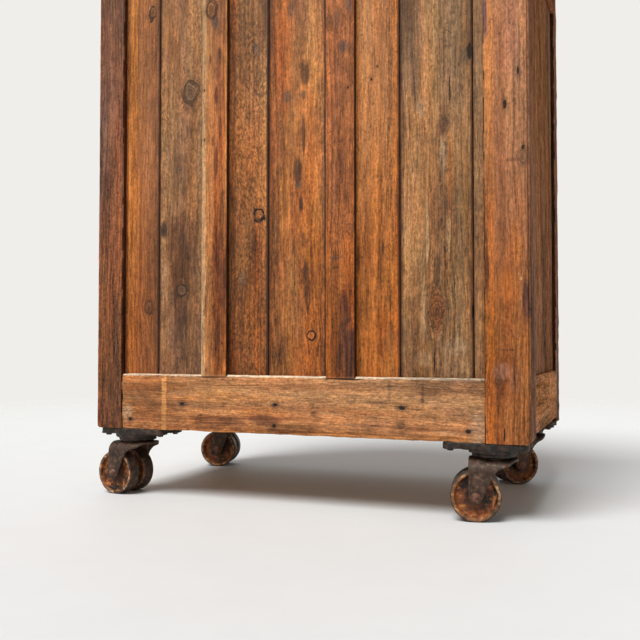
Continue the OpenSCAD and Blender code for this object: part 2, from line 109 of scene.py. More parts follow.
def times(a, b, *more):
    product = calc("MULTIPLY", a, b)
    return times(product, *more) if more else product


def minus(a, b):
    return calc("SUBTRACT", a, b)


def over(a, b):
    return calc("DIVIDE", a, b)


def timesPlus(value, factor, plus=1.0):
    return calc("MULTIPLY_ADD", value, factor, plus)


def span(a, b):
    return calc("SQRT", add(times(a, a), times(b, b)))


def vectorCalc(operation, a, b=(0, 0, 0)):
    return joinNode("ShaderNodeVectorMath", {0: a, 1: b}, operation=operation).outputs[0]


def lengthOf(vector):
    return joinNode("ShaderNodeVectorMath", {0: vector}, operation="LENGTH").outputs["Value"]


def scaleColor(color, factor):
    return joinNode("ShaderNodeVectorMath", {0: color, "Scale": factor}, operation="SCALE").outputs[0]


def cover(color, paint, mask, amount=None):
    # lays a paint over a colour where the mask says so
    factor = mask if amount is None else times(mask, amount)
    return joinNode("ShaderNodeMix", {0: factor, 6: color, 7: paint}, data_type="RGBA").outputs[2]


def between(value, low, high, start=0.0, end=1.0):
    values = {"Value": value, "From Min": low, "From Max": high, "To Min": start, "To Max": end}
    return joinNode("ShaderNodeMapRange", values, interpolation_type="SMOOTHSTEP").outputs[0]


def fading(value, low, high, start=1.0):
    return between(value, low, high, start, 0.0)


def noise(vector, stretch, detail=2.0, rough=0.5):
    values = {"Vector": vectorCalc("MULTIPLY", vector, stretch), "Scale": 1.0, "Detail": detail, "Roughness": rough}
    return joinNode("ShaderNodeTexNoise", values).outputs[0]


def splitVector(vector):
    return joinNode("ShaderNodeSeparateXYZ", {0: vector}).outputs


def joinVector(x, y, z):
    return joinNode("ShaderNodeCombineXYZ", {0: x, 1: y, 2: z}).outputs[0]


def bumped(height, strength, distance):
    return joinNode("ShaderNodeBump", {"Height": height, "Strength": strength, "Distance": distance}).outputs[0]


def newGroup(name, inputs, outputs):
    # a default of three numbers makes a vector socket, one of four a colour
    group = bpy.data.node_groups.new(name, "ShaderNodeTree")
    for label, default in inputs.items():
        kind = {3: "Vector", 4: "Color"}[len(default)] if isinstance(default, tuple) else "Float"
        group.interface.new_socket(label, in_out="INPUT", socket_type="NodeSocket" + kind).default_value = default
    for label in outputs:
        kind = "Color" if label == "Color" else "Float"
        group.interface.new_socket(label, in_out="OUTPUT", socket_type="NodeSocket" + kind)
    return group, group.nodes.new("NodeGroupInput").outputs, group.nodes.new("NodeGroupOutput")


def useGroup(group, values):
    return joinNode("ShaderNodeGroup", values, node_tree=group).outputs


def newMaterial(name):
    material = bpy.data.materials.new(name)
    material.use_nodes = True
    tree = material.node_tree
    return material, tree, tree.nodes["Principled BSDF"], tree.nodes.new("ShaderNodeTexCoord").outputs["Object"]


# Shader groups. Every wood group reads a point whose Z runs along the grain and whose X runs across it.

spot = {"Point": (0, 0, 0), "Across": 0.0, "Along": 0.0}


def makeKnotGroup():
    # grain that parts round a knot, as water parts round a stone, with the knot's own broken rim and core
    group, given, result = newGroup("knot", {**spot, "Radius": 0.01, "Length": 1.5},
                                    ("Shift", "Mask", "Rim", "Core", "Whorls"))
    point, radius = given["Point"], given["Radius"]
    x, y, z = splitVector(point)
    across = minus(x, given["Across"])
    along = over(minus(z, given["Along"]), given["Length"])
    square = add(times(across, across), times(along, along))
    lobes = timesPlus(noise(point, (48, 48, 30)), 1.5, 0.25)
    crumbs = timesPlus(noise(point, (260, 260, 180)), 0.5, -0.25)
    reach = add(over(times(calc("SQRT", square), lobes), radius), crumbs)
    radiusSquare = times(radius, radius)
    pull = over(radiusSquare, calc("MAXIMUM", square, radiusSquare))
    turn = calc("FRACT", times(reach, 3.3))
    broken = between(noise(point, (70, 70, 60)), 0.36, 0.5, 0.5, 1.0)
    setInputs(result, {
        "Shift": times(across, pull, -1, fading(reach, 2.5, 9.0)),
        "Mask": fading(reach, 0.6, 1.5),
        "Rim": times(fading(calc("ABSOLUTE", minus(reach, 1.0)), 0.06, 0.34), broken),
        "Core": fading(reach, 0.1, 0.75),
        "Whorls": times(between(turn, 0.3, 0.75), fading(turn, 0.8, 1.0), fading(reach, 1.0, 2.2)),
    })
    return group


def makeMarkGroup():
    # a nail hole, a plug or a slit: an oval patch with an uneven rim
    group, given, result = newGroup("mark", {**spot, "Half Width": 0.002, "Half Length": 0.002}, ("Mask", "Halo"))
    x, y, z = splitVector(given["Point"])
    wander = timesPlus(noise(given["Point"], (60, 60, 60), 3), 0.004, -0.002)
    across = over(minus(add(x, wander), given["Across"]), given["Half Width"])
    along = over(minus(z, given["Along"]), given["Half Length"])
    reach = span(across, along)
    setInputs(result, {"Mask": fading(reach, 0.7, 1.2), "Halo": fading(reach, 1.0, 3.2)})
    return group


def makePatchGroup():
    # a band, a stain or a bare place: a long oval whose edges wander with the grain
    group, given, result = newGroup("patch", {**spot, "Half Width": 0.01, "Half Length": 0.1}, ("Mask",))
    point = given["Point"]
    x, y, z = splitVector(point)
    drift = timesPlus(noise(point, (60, 60, 16), 4, 0.7), 1.6, -0.8)
    fray = timesPlus(noise(point, (240, 240, 22)), 0.5, -0.25)
    across = over(minus(x, given["Across"]), given["Half Width"])
    across = add(calc("ABSOLUTE", across), fray, times(drift, 0.5))
    along = over(minus(z, given["Along"]), given["Half Length"])
    along = add(calc("ABSOLUTE", along), drift)
    reach = span(calc("MAXIMUM", across, 0.0), calc("MAXIMUM", along, 0.0))
    streaky = between(noise(point, (170, 170, 9), 3), 0.3, 0.6, 0.7, 1.0)
    setInputs(result, {"Mask": times(fading(reach, 0.6, 1.25), streaky)})
    return group


def makeArrisGroup():
    # distance to a board's nearest arris: the middle one of the distances to its three pairs of faces
    group, given, result = newGroup("arris", {"Point": (0, 0, 0), "Centre": (0, 0, 0), "Half": (1, 1, 1)},
                                    ("Distance",))
    offset = vectorCalc("ABSOLUTE", vectorCalc("SUBTRACT", given["Point"], given["Centre"]))
    x, y, z = splitVector(vectorCalc("SUBTRACT", given["Half"], offset))
    high = calc("MAXIMUM", x, y)
    setInputs(result, {"Distance": calc("MAXIMUM", calc("MINIMUM", x, y), calc("MINIMUM", high, z))})
    return group


# Tones that run with the grain, from broad bands down to single fibres: stretch, detail, roughness, strength
grainLayers = {
    "bands": ((28, 22, 2.0), 3, 0.6, 0.2),
    "streaks": ((90, 60, 5.5), 3, 0.6, 0.13),
    "fine": ((430, 240, 30), 3, 0.6, 0.3),
    "ribs": ((210, 110, 20), 2, 0.5, 0.06),
}


def makeWoodGroup():
    group, given, result = newGroup(
        "oldPine",
        {"Point": (0, 0, 0), "Shift": 0.0, "Seed": 0.0, "Pith Across": 0.0, "Pith Depth": 0.06, "Ring Width": 0.006,
         "Contrast": 0.6, "Light": (0.4, 0.2, 0.1, 1), "Dark": (0.2, 0.08, 0.03, 1),
         "Stain": (0.06, 0.03, 0.015, 1), "Stain Amount": 0.4,
         "Weather": (0.3, 0.25, 0.2, 1), "Weather Amount": 0.2,
         "Grain Amount": 1.0, "Sponge Amount": 0.5, "Warmth Amount": 0.6},
        ("Color", "Height", "Roughness", "Level"),
    )
    seed, stain = given["Seed"], given["Stain"]
    point = vectorCalc("ADD", given["Point"], joinVector(times(seed, 1.37), times(seed, 2.11), times(seed, 3.73)))
    x, y, z = splitVector(given["Point"])
    drift = timesPlus(noise(point, (4, 4, 1.1), 1), 0.07, -0.035)
    waver = timesPlus(noise(point, (24, 24, 5)), 0.006, -0.003)
    grain = add(add(x, given["Shift"]), add(drift, waver))

    # growth rings round the pith, dark and hard where each one ends
    radius = span(minus(grain, given["Pith Across"]), minus(y, given["Pith Depth"]))
    turns = over(radius, given["Ring Width"])
    years = noise(joinVector(turns, seed, 0), (0.37, 1, 1), 1)
    phase = calc("FRACT", timesPlus(years, 2.4, turns))
    late = times(between(phase, 0.35, 0.85), fading(phase, 0.9, 1.0))
    rings = times(late, between(noise(point, (17, 17, 2.3)), 0.3, 0.62, 0.15, 1.0))

    grainPoint = joinVector(add(grain, seed), y, add(z, seed))
    layers = {name: between(noise(grainPoint, stretch, detail, rough), 0.3, 0.7, -strength, strength)
              for name, (stretch, detail, rough, strength) in grainLayers.items()}
    fibres = noise(grainPoint, (900, 500, 70), 2, 0.6)
    grit = between(noise(point, (300, 300, 170), 3, 0.7), 0.3, 0.7, -0.22, 0.22)
    level = add(add(layers["bands"], layers["streaks"]), add(layers["fine"], layers["ribs"]))
    level = add(level, timesPlus(fibres, 0.6, -0.3), grit)
    level = timesPlus(level, given["Grain Amount"])

    # blotches, a spongy roughness, and tones that drift from brown to gold
    blotches = noise(point, (11, 11, 4.2), 5, 0.64)
    mottle = noise(point, (66, 66, 36), 5, 0.74)
    sponge = between(noise(point, (220, 220, 130), 4, 0.78), 0.36, 0.64, -0.5, 0.45)
    sponge = times(sponge, between(blotches, 0.36, 0.6, 0.35, 1.0))
    level = times(level, timesPlus(sponge, given["Sponge Amount"]))
    warmth, gold = (
        times(between(noise(point, stretch, 4, rough), 0.36, 0.64, -1.0, 1.0), given["Warmth Amount"])
        for stretch, rough in (((14, 14, 1.9), 0.6), ((26, 26, 5), 0.65))
    )
    green = timesPlus(gold, 0.055, timesPlus(warmth, 0.06))
    warmTint = joinVector(timesPlus(warmth, 0.2), green, timesPlus(warmth, -0.16))
    darkLines = between(noise(grainPoint, (340, 190, 11), 2, 0.55), 0.6, 0.72)
    paleLines = between(noise(grainPoint, (290, 170, 9), 3, 0.6), 0.42, 0.3)

    color = cover(given["Light"], given["Dark"], rings, given["Contrast"])
    color = vectorCalc("MULTIPLY", scaleColor(color, level), warmTint)
    bleach = times(paleLines, given["Weather Amount"])
    color = cover(color, given["Weather"], bleach)
    color = cover(color, stain, darkLines, 0.3)
    dirt = add(times(mottle, 0.45), times(blotches, 0.55))
    color = cover(color, stain, between(dirt, 0.54, 0.4), given["Stain Amount"])
    specks = between(noise(point, (205, 205, 120), 2, 0.6), 0.58, 0.7)
    specks = times(specks, between(mottle, 0.56, 0.42))
    color = cover(color, stain, specks, 0.5)

    height = timesPlus(rings, 0.3, times(layers["streaks"], 0.9))
    for layer, amount in ((layers["fine"], 0.5), (grit, 0.6), (fibres, 0.4), (mottle, 0.8),
                          (sponge, times(given["Sponge Amount"], 0.4)), (specks, -0.4), (darkLines, -0.5)):
        height = timesPlus(layer, amount, height)
    gloss = timesPlus(bleach, 0.2, timesPlus(blotches, 0.25, 0.42))
    setInputs(result, {"Color": color, "Height": height, "Roughness": gloss, "Level": level})
    return group


def makeIronGroup():
    group, given, result = newGroup(
        "rustyIron",
        {"Point": (0, 0, 0), "Iron": (0.05, 0.04, 0.03, 1), "Rust": (0.3, 0.12, 0.04, 1),
         "Dust": (0.4, 0.3, 0.2, 1), "Rust Amount": 0.5, "Dust Amount": 0.2, "Flake Contrast": 0.5},
        ("Color", "Height", "Roughness", "Bare"),
    )
    patches, pits, flakes = (
        noise(given["Point"], (size, size, size), detail, rough)
        for size, detail, rough in ((34, 5, 0.66), (310, 3, 0.6), (120, 4, 0.62))
    )
    threshold = timesPlus(given["Rust Amount"], -0.42, 0.68)
    rustMask = between(minus(patches, threshold), -0.07, 0.1)
    color = cover(given["Iron"], given["Rust"], rustMask)
    contrast = given["Flake Contrast"]
    color = scaleColor(color, between(flakes, 0.32, 0.68, minus(1.0, contrast), add(1.0, contrast)))
    color = cover(color, given["Dust"], between(flakes, 0.52, 0.66), given["Dust Amount"])
    pitMask = between(pits, 0.4, 0.3)
    setInputs(result, {
        "Color": cover(color, given["Iron"], pitMask, 0.6),
        "Height": timesPlus(pitMask, -0.5, timesPlus(flakes, 0.8, times(patches, 0.6))),
        "Roughness": timesPlus(rustMask, 0.25, 0.5),
        "Bare": minus(1.0, rustMask),
    })
    return group


knotGroup = makeKnotGroup()
markGroup = makeMarkGroup()
patchGroup = makePatchGroup()
arrisGroup = makeArrisGroup()
woodGroup = makeWoodGroup()
ironGroup = makeIronGroup()
print("shader groups made")


# Which object axes run across, through and along the grain of a board
grainAxes = {"Z": (0, 1, 2), "X": (2, 1, 0), "Y": (2, 0, 1)}

# Tones are given as the eye reads them, from 0 to 255, and sizes in millimetres
woodDefaults = {
    "along": "Z",  # the axis that the grain runs along
    "seed": 1.0,
    "pith": (0.0, 0.1),  # in metres from the board's centre, across and deep
    "ringWidth": 6.0,
    "contrast": 0.6,
    "tone": (160, 104, 66),
    "lightPart": (1.25, 1.25, 1.25),
    "darkPart": (0.5, 0.4, 0.32),
    "stain": (60, 37, 25),
    "stainAmount": 0.45,
    "weather": (178, 146, 116),
    "weatherAmount": 0.3,
    "grain": 1.0,
    "sponge": 0.45,
    "warmth": 0.6,
    "lowTint": (0.78, 0.68, 0.58),  # near the floor the wood is darker and browner
    "knots": (),
    "knotTone": (104, 78, 60),
    "patches": (),
    "paints": (),
    "holes": (),
    "plugs": (),
    "wear": (198, 146, 104),
    "wearAmount": 0.5,
    "wearWidth": 2.4,
    "dirtAndShade": 0.0,
    "dirtAndShadeWidth": 5.0,
    "bump": 0.6,
    "shine": 0.22,
}
lowReach = {"from": 0.3, "to": 0.85, "moreGrain": 0.32}
full = 1300  # half the length of a mark that runs over a whole board
black, smear, grey, cream = (22, 13, 9), (62, 43, 33), (92, 76, 66), (206, 168, 122)  # paints of many boards


def shade(color, factors):
    return (*(channel * factor for channel, factor in zip(color, factors)), 1)


def woodMaterial(name, spec, box):
    # Marks are (across, along, half width, half length). A patch adds a tint, a paint a colour and how much of it,
    # and a knot is (across, along, radius, length, how strong a rim, how dark)
    wood = {**woodDefaults, **spec}
    mainTone, stain, weather, knotTone, wearTone = (
        tone(*wood[key]) for key in ("tone", "stain", "weather", "knotTone", "wear"))
    material, tree, shader, place = newMaterial(name)
    parts = splitVector(place)
    axes = grainAxes[wood["along"]]
    point = joinVector(*(parts[axis] for axis in axes))
    low, high = box
    centre = [(low[axis] + high[axis]) / 2 for axis in axes]
    half = [(high[axis] - low[axis]) / 2 for axis in axes]

    def placed(group, across, along, halfWidth, halfLength):
        return useGroup(group, {"Point": point, "Across": across * mm, "Along": along * mm,
                                "Half Width": halfWidth * mm, "Half Length": halfLength * mm})

    shift, knotMask, knotRim, knotCore, knotWhorls = 0.0, 0.0, 0.0, 0.0, 0.0
    for across, along, radius, length, rim, dark in wood["knots"]:
        knot = useGroup(knotGroup, {"Point": point, "Across": across * mm, "Along": along * mm,
                                    "Radius": radius * mm, "Length": length})
        shift = add(knot["Shift"], shift)
        knotMask, knotRim, knotCore, knotWhorls = (
            calc("MAXIMUM", times(knot[key], amount), before)
            for key, amount, before in (("Mask", dark, knotMask), ("Rim", rim, knotRim),
                                        ("Core", dark, knotCore), ("Whorls", dark, knotWhorls)))

    lower = fading(parts[2], lowReach["from"], lowReach["to"])
    pine = useGroup(woodGroup, {
        "Point": point, "Shift": shift, "Seed": wood["seed"],
        "Pith Across": centre[0] + wood["pith"][0], "Pith Depth": centre[1] + wood["pith"][1],
        "Ring Width": wood["ringWidth"] * mm, "Contrast": wood["contrast"],
        "Light": shade(mainTone, wood["lightPart"]), "Dark": shade(mainTone, wood["darkPart"]),
        "Stain": stain, "Stain Amount": wood["stainAmount"],
        "Weather": weather, "Weather Amount": wood["weatherAmount"],
        "Grain Amount": timesPlus(lower, lowReach["moreGrain"] * wood["grain"], wood["grain"]),
        "Sponge Amount": wood["sponge"], "Warmth Amount": wood["warmth"],
    })
    color, height = pine["Color"], pine["Height"]
    # darker and browner towards the floor: partly dirt, partly painted shade
    color = cover(color, vectorCalc("MULTIPLY", color, wood["lowTint"]), lower)

    for *mark, tint in wood["patches"]:
        color = cover(color, vectorCalc("MULTIPLY", color, tint), placed(patchGroup, *mark)["Mask"])
    for *mark, paint, amount in wood["paints"]:
        color = cover(color, scaleColor(tone(*paint)[:3], pine["Level"]), placed(patchGroup, *mark)["Mask"], amount)

    if wood["knots"]:
        for paint, mask, amount in ((knotTone, knotMask, 0.4), (stain, knotWhorls, 0.75), (stain, knotCore, 0.6),
                                    (tone(*black), knotRim, None)):
            color = cover(color, paint, mask, amount)
        height = timesPlus(knotRim, -0.5, timesPlus(knotMask, 0.3, height))

    # dirt and painted shade in the corners of a frame, and edges that hands have worn bright
    arris = useGroup(arrisGroup, {"Point": point, "Centre": centre, "Half": half})["Distance"]
    uneven = noise(point, (55, 55, 21), 4, 0.7)
    dirtShadeWidth, wearWidth = wood["dirtAndShadeWidth"] * mm, wood["wearWidth"] * mm
    if wood["dirtAndShade"]:
        reach = timesPlus(uneven, -1.4 * dirtShadeWidth, arris)
        color = cover(color, stain, fading(reach, -0.4 * dirtShadeWidth, 0.3 * dirtShadeWidth, wood["dirtAndShade"]))
    reach = timesPlus(uneven, 2.4 * wearWidth, arris)
    color = cover(color, wearTone, fading(reach, 0.9 * wearWidth, 1.7 * wearWidth, wood["wearAmount"]))

    for marks, depth, darkness in ((wood["holes"], -2.2, 0.95), (wood["plugs"], -0.6, 0.45)):
        for mark in marks:
            hole = placed(markGroup, *mark)
            color = cover(color, stain, hole["Halo"], 0.35 * darkness)
            color = cover(color, tone(*black), hole["Mask"], darkness)
            height = timesPlus(hole["Mask"], depth, height)

    setInputs(shader, {"Base Color": color, "Roughness": pine["Roughness"], "Specular IOR Level": wood["shine"],
                       "Normal": bumped(height, wood["bump"], 1.2 * mm)})
    return material


ironDefaults = {"bump": 0.8, "metal": 0.35, "flakes": 0.5, "rubbed": 0.0}
# painted shade on a wheel's dish, from its hub out
dishShade = {"from": 24 * mm, "to": 40 * mm, "dark": 0.28, "bright": 1.2, "wander": 0.016}  # of a wheel, from its hub out


def ironMaterial(name, look, hub=None):
    iron = {**ironDefaults, **look}
    ironTone, rustTone, dustTone = (tone(*iron[key]) for key in ("iron", "rust", "dust"))
    material, tree, shader, place = newMaterial(name)
    rusty = useGroup(ironGroup, {
        "Point": place, "Iron": ironTone, "Rust": rustTone, "Dust": dustTone,
        "Rust Amount": iron["rustAmount"], "Dust Amount": iron["dustAmount"], "Flake Contrast": iron["flakes"],
    })
    color = rusty["Color"]
    if iron["rubbed"]:
        # edges rubbed bright and hollows full of dirt, on the dense meshes of the cast pieces
        pointed = tree.nodes.new("ShaderNodeNewGeometry").outputs["Pointiness"]
        color = cover(color, dustTone, between(pointed, 0.52, 0.6, 0.0, iron["rubbed"]))
        color = cover(color, ironTone, between(pointed, 0.48, 0.4, 0.0, iron["rubbed"]))
    if hub:
        # painted shade and light: a dish is painted dark round its hub, where it lies in shade, and brighter towards
        # its rim
        centre, spin = hub
        away = lengthOf(vectorCalc("CROSS_PRODUCT", vectorCalc("SUBTRACT", place, centre), spin))
        away = timesPlus(noise(place, (90, 90, 90), 3), dishShade["wander"], away)
        color = scaleColor(color, between(away, dishShade["from"], dishShade["to"], dishShade["dark"], dishShade["bright"]))
    setInputs(shader, {"Base Color": color, "Roughness": rusty["Roughness"],
                       "Metallic": times(rusty["Bare"], iron["metal"]),
                       "Normal": bumped(rusty["Height"], iron["bump"], 0.8 * mm)})
    return material


# Helpers for pieces

def makeActive(piece):
    bpy.ops.object.select_all(action="DESELECT")
    piece.select_set(True)
    bpy.context.view_layer.objects.active = piece


def editAll(piece=None):
    # opens the active piece, or the one given, with all of its mesh selected
    if piece:
        makeActive(piece)
    bpy.ops.object.mode_set(mode="EDIT")
    bpy.ops.mesh.select_all(action="SELECT")


def leaveEdit():
    bpy.ops.object.mode_set(mode="OBJECT")


def applyModifier(piece, kind, **settings):
    modifier = piece.modifiers.new(kind.lower(), kind)
    for key, value in settings.items():
        setattr(modifier, key, value)
    makeActive(piece)
    bpy.ops.object.modifier_apply(modifier=modifier.name)


def displace(piece, texture, strength, middle, **settings):
    applyModifier(piece, "DISPLACE", texture=texture, texture_coords="LOCAL", strength=strength, mid_level=middle,
                  **settings)


def bevelEdges(piece, width, **settings):
    applyModifier(piece, "BEVEL", width=width, segments=2, limit_method="ANGLE", angle_limit=math.radians(40),
                  **settings)


def meshBox(piece):
    corners = [vertex.co for vertex in piece.data.vertices]
    low = Vector([min(corner[axis] for corner in corners) for axis in range(3)])
    high = Vector([max(corner[axis] for corner in corners) for axis in range(3)])
    return low, high


def cloudTexture(name, size, contrast=1.0, intensity=1.0, depth=2):
    texture = bpy.data.textures.new(name, "CLOUDS")
    texture.noise_scale = size
    texture.noise_depth = depth
    texture.contrast = contrast
    texture.intensity = intensity
    return texture


def copyNode(nodeName, pieceName):
    # an own copy of a CAD mesh, with its loose triangles joined into clean faces
    piece = bpy.data.objects.new(pieceName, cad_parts[nodeName].data.copy())
    bpy.context.scene.collection.objects.link(piece)
    piece.data.materials.clear()
    makeActive(piece)
    if piece.data.has_custom_normals:
        bpy.ops.mesh.customdata_custom_splitnormals_clear()
    editAll()
    bpy.ops.mesh.remove_doubles(threshold=0.01 * mm)
    bpy.ops.mesh.dissolve_limited(angle_limit=math.radians(1))
    leaveEdit()
    return piece


def cutCells(piece, steps):
    # cuts what is open for editing across each axis, so that flat faces have points that can move
    low, high = meshBox(piece)
    editAll()
    for axis, step in enumerate(steps):
        size = high[axis] - low[axis]
        count = max(1, round(size / (step * mm)))
        normal = [float(axis == other) for other in range(3)]
        for cut in range(1, count):
            place = list(low)
            place[axis] += size * cut / count
            bpy.ops.mesh.select_all(action="SELECT")
            bpy.ops.mesh.bisect(plane_co=place, plane_no=normal)
    leaveEdit()


softClouds = cloudTexture("softClouds", 60 * mm)
chipClouds = cloudTexture("chipClouds", 11 * mm, 3.0, 0.62, 3)

# Sizes in millimetres: the cells a face is cut into, the rounding, the unevenness, the chips and how far they reach
boardDefaults = {"cells": (16, 16, 16), "round": 1.6, "uneven": 0.8, "chips": 1.4, "chipReach": 3}


def ageBoard(piece, ageing):
    # rounds a board's edges, makes its faces uneven and chips its arrises
    look = {**boardDefaults, **ageing}
    low, high = meshBox(piece)
    cutCells(piece, look["cells"])
    bevelEdges(piece, look["round"] * mm, harden_normals=False)
    displace(piece, softClouds, look["uneven"] * mm, 0.5)
    edgeBand = piece.vertex_groups.new(name="edgeBand")
    centre, half = (low + high) / 2, (high - low) / 2
    inside = [sorted(half[axis] - abs(vertex.co[axis] - centre[axis]) for axis in range(3))
              for vertex in piece.data.vertices]
    nearArris = [index for index, distances in enumerate(inside) if distances[1] < look["chipReach"] * mm]
    edgeBand.add(nearArris, 1.0, "REPLACE")
    displace(piece, chipClouds, -look["chips"] * mm, 0.0, vertex_group="edgeBand")
    piece.vertex_groups.clear()
    makeActive(piece)
    bpy.ops.object.shade_smooth_by_angle(angle=math.radians(38))


def looseBoards(nodeName, names, sortAxis):
    # the boards of one node as pieces of their own, sorted along an axis from its high end
    editAll(copyNode(nodeName, names[0]))
    bpy.ops.mesh.separate(type="LOOSE")
    leaveEdit()
    boards = sorted(bpy.context.selected_objects, key=lambda board: -meshBox(board)[0][sortAxis])
    for index, board in enumerate(boards):
        board.name = f"sorting_{index}"
    for board, name in zip(boards, names):
        board.name = name
    return boards


def fitPiece(piece, body, slotName, *replaced):
    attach(piece, body)
    if replaced:
        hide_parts(*replaced)


def makeTimber(timber, nodeName, slotName, ageing, spec, shapeEnds=None):
    # ages a board of the cabinet, gives it its wood and puts it in place of its node
    box = meshBox(timber)
    if shapeEnds:
        shapeEnds(timber, ageing)
    ageBoard(timber, ageing)
    woodName = timber.name.removesuffix("_aged") + "_wood"
    timber.data.materials.append(woodMaterial(woodName, spec, box))
    fitPiece(timber, "cabinet", slotName, nodeName)


# Floor and light

floorLook = {
    "size": 40.0,
    "tone": tone(235, 236, 235),
    "fadeFrom": 1.5,
    "fadeTo": 3.6,
    "roughness": 0.6,
    "shine": 0.12,
}
backgroundTone = tone(240, 238, 234)
ambientLook = {"color": (1, 0.99, 0.975, 1), "strength": 0.2}


def mixShaders(tree, outputName, factor, first, second):
    mixer = addNode(tree, "ShaderNodeMixShader", {0: factor, 1: first.outputs[0], 2: second.outputs[0]})
    setInputs(tree.nodes[outputName], {"Surface": mixer.outputs[0]})


bpy.ops.object.select_all(action="DESELECT")
bpy.ops.mesh.primitive_circle_add(vertices=96, radius=floorLook["size"] / 2, fill_type="NGON", location=(0, 0, 0))
floor = bpy.context.object
floor.name = "floor"
floorMaterial, tree, floorShader, floorPoint = newMaterial("paleFloor")
floorTexture = noise(floorPoint, (9, 9, 9), 5, 0.65)
floorColor = scaleColor(floorLook["tone"][:3], timesPlus(floorTexture, 0.06, 0.97))
setInputs(floorShader, {"Base Color": floorColor, "Roughness": floorLook["roughness"],
                        "Specular IOR Level": floorLook["shine"]})
fade = between(lengthOf(floorPoint), floorLook["fadeFrom"], floorLook["fadeTo"])
# from below the floor is clear, so that the underside of the cabinet shows
fade = calc("MAXIMUM", fade, addNode(tree, "ShaderNodeNewGeometry").outputs["Backfacing"])
mixShaders(tree, "Material Output", fade, floorShader, tree.nodes.new("ShaderNodeBsdfTransparent"))
floor.data.materials.append(floorMaterial)

world = bpy.data.worlds.new("studio")
bpy.context.scene.world = world
world.use_nodes = True
tree = world.node_tree
rays = tree.nodes.new("ShaderNodeLightPath").outputs
seen = calc("MAXIMUM", rays["Is Camera Ray"], rays["Is Glossy Ray"])
seen = calc("MAXIMUM", seen, rays["Is Transmission Ray"])
ambient = addNode(tree, "ShaderNodeBackground", {"Color": ambientLook["color"], "Strength": ambientLook["strength"]})
shown = addNode(tree, "ShaderNodeBackground", {"Color": backgroundTone, "Strength": 1.0})
mixShaders(tree, "World Output", seen, ambient, shown)

# Two wide, even lamps: one over the photographer's left shoulder, a weaker one over the drawers
lamps = {
    "keyLamp": {"from": (0.16, 0.52, 0.84), "spread": 34, "power": 2.9},
    "drawerLamp": {"from": (0.2, -0.62, 0.76), "spread": 60, "power": 0.36},
}
for lampName, lamp in lamps.items():
    turn = Vector(lamp["from"]).to_track_quat("Z", "Y").to_euler()
    bpy.ops.object.light_add(type="SUN", location=Vector(lamp["from"]) * 4, rotation=turn)
    light = bpy.context.object
    light.name = lampName
    light.data.angle = math.radians(lamp["spread"])
    light.data.energy = lamp["power"]
print("floor and lamps placed")


# Back boards, numbered from the right when the drawers face you

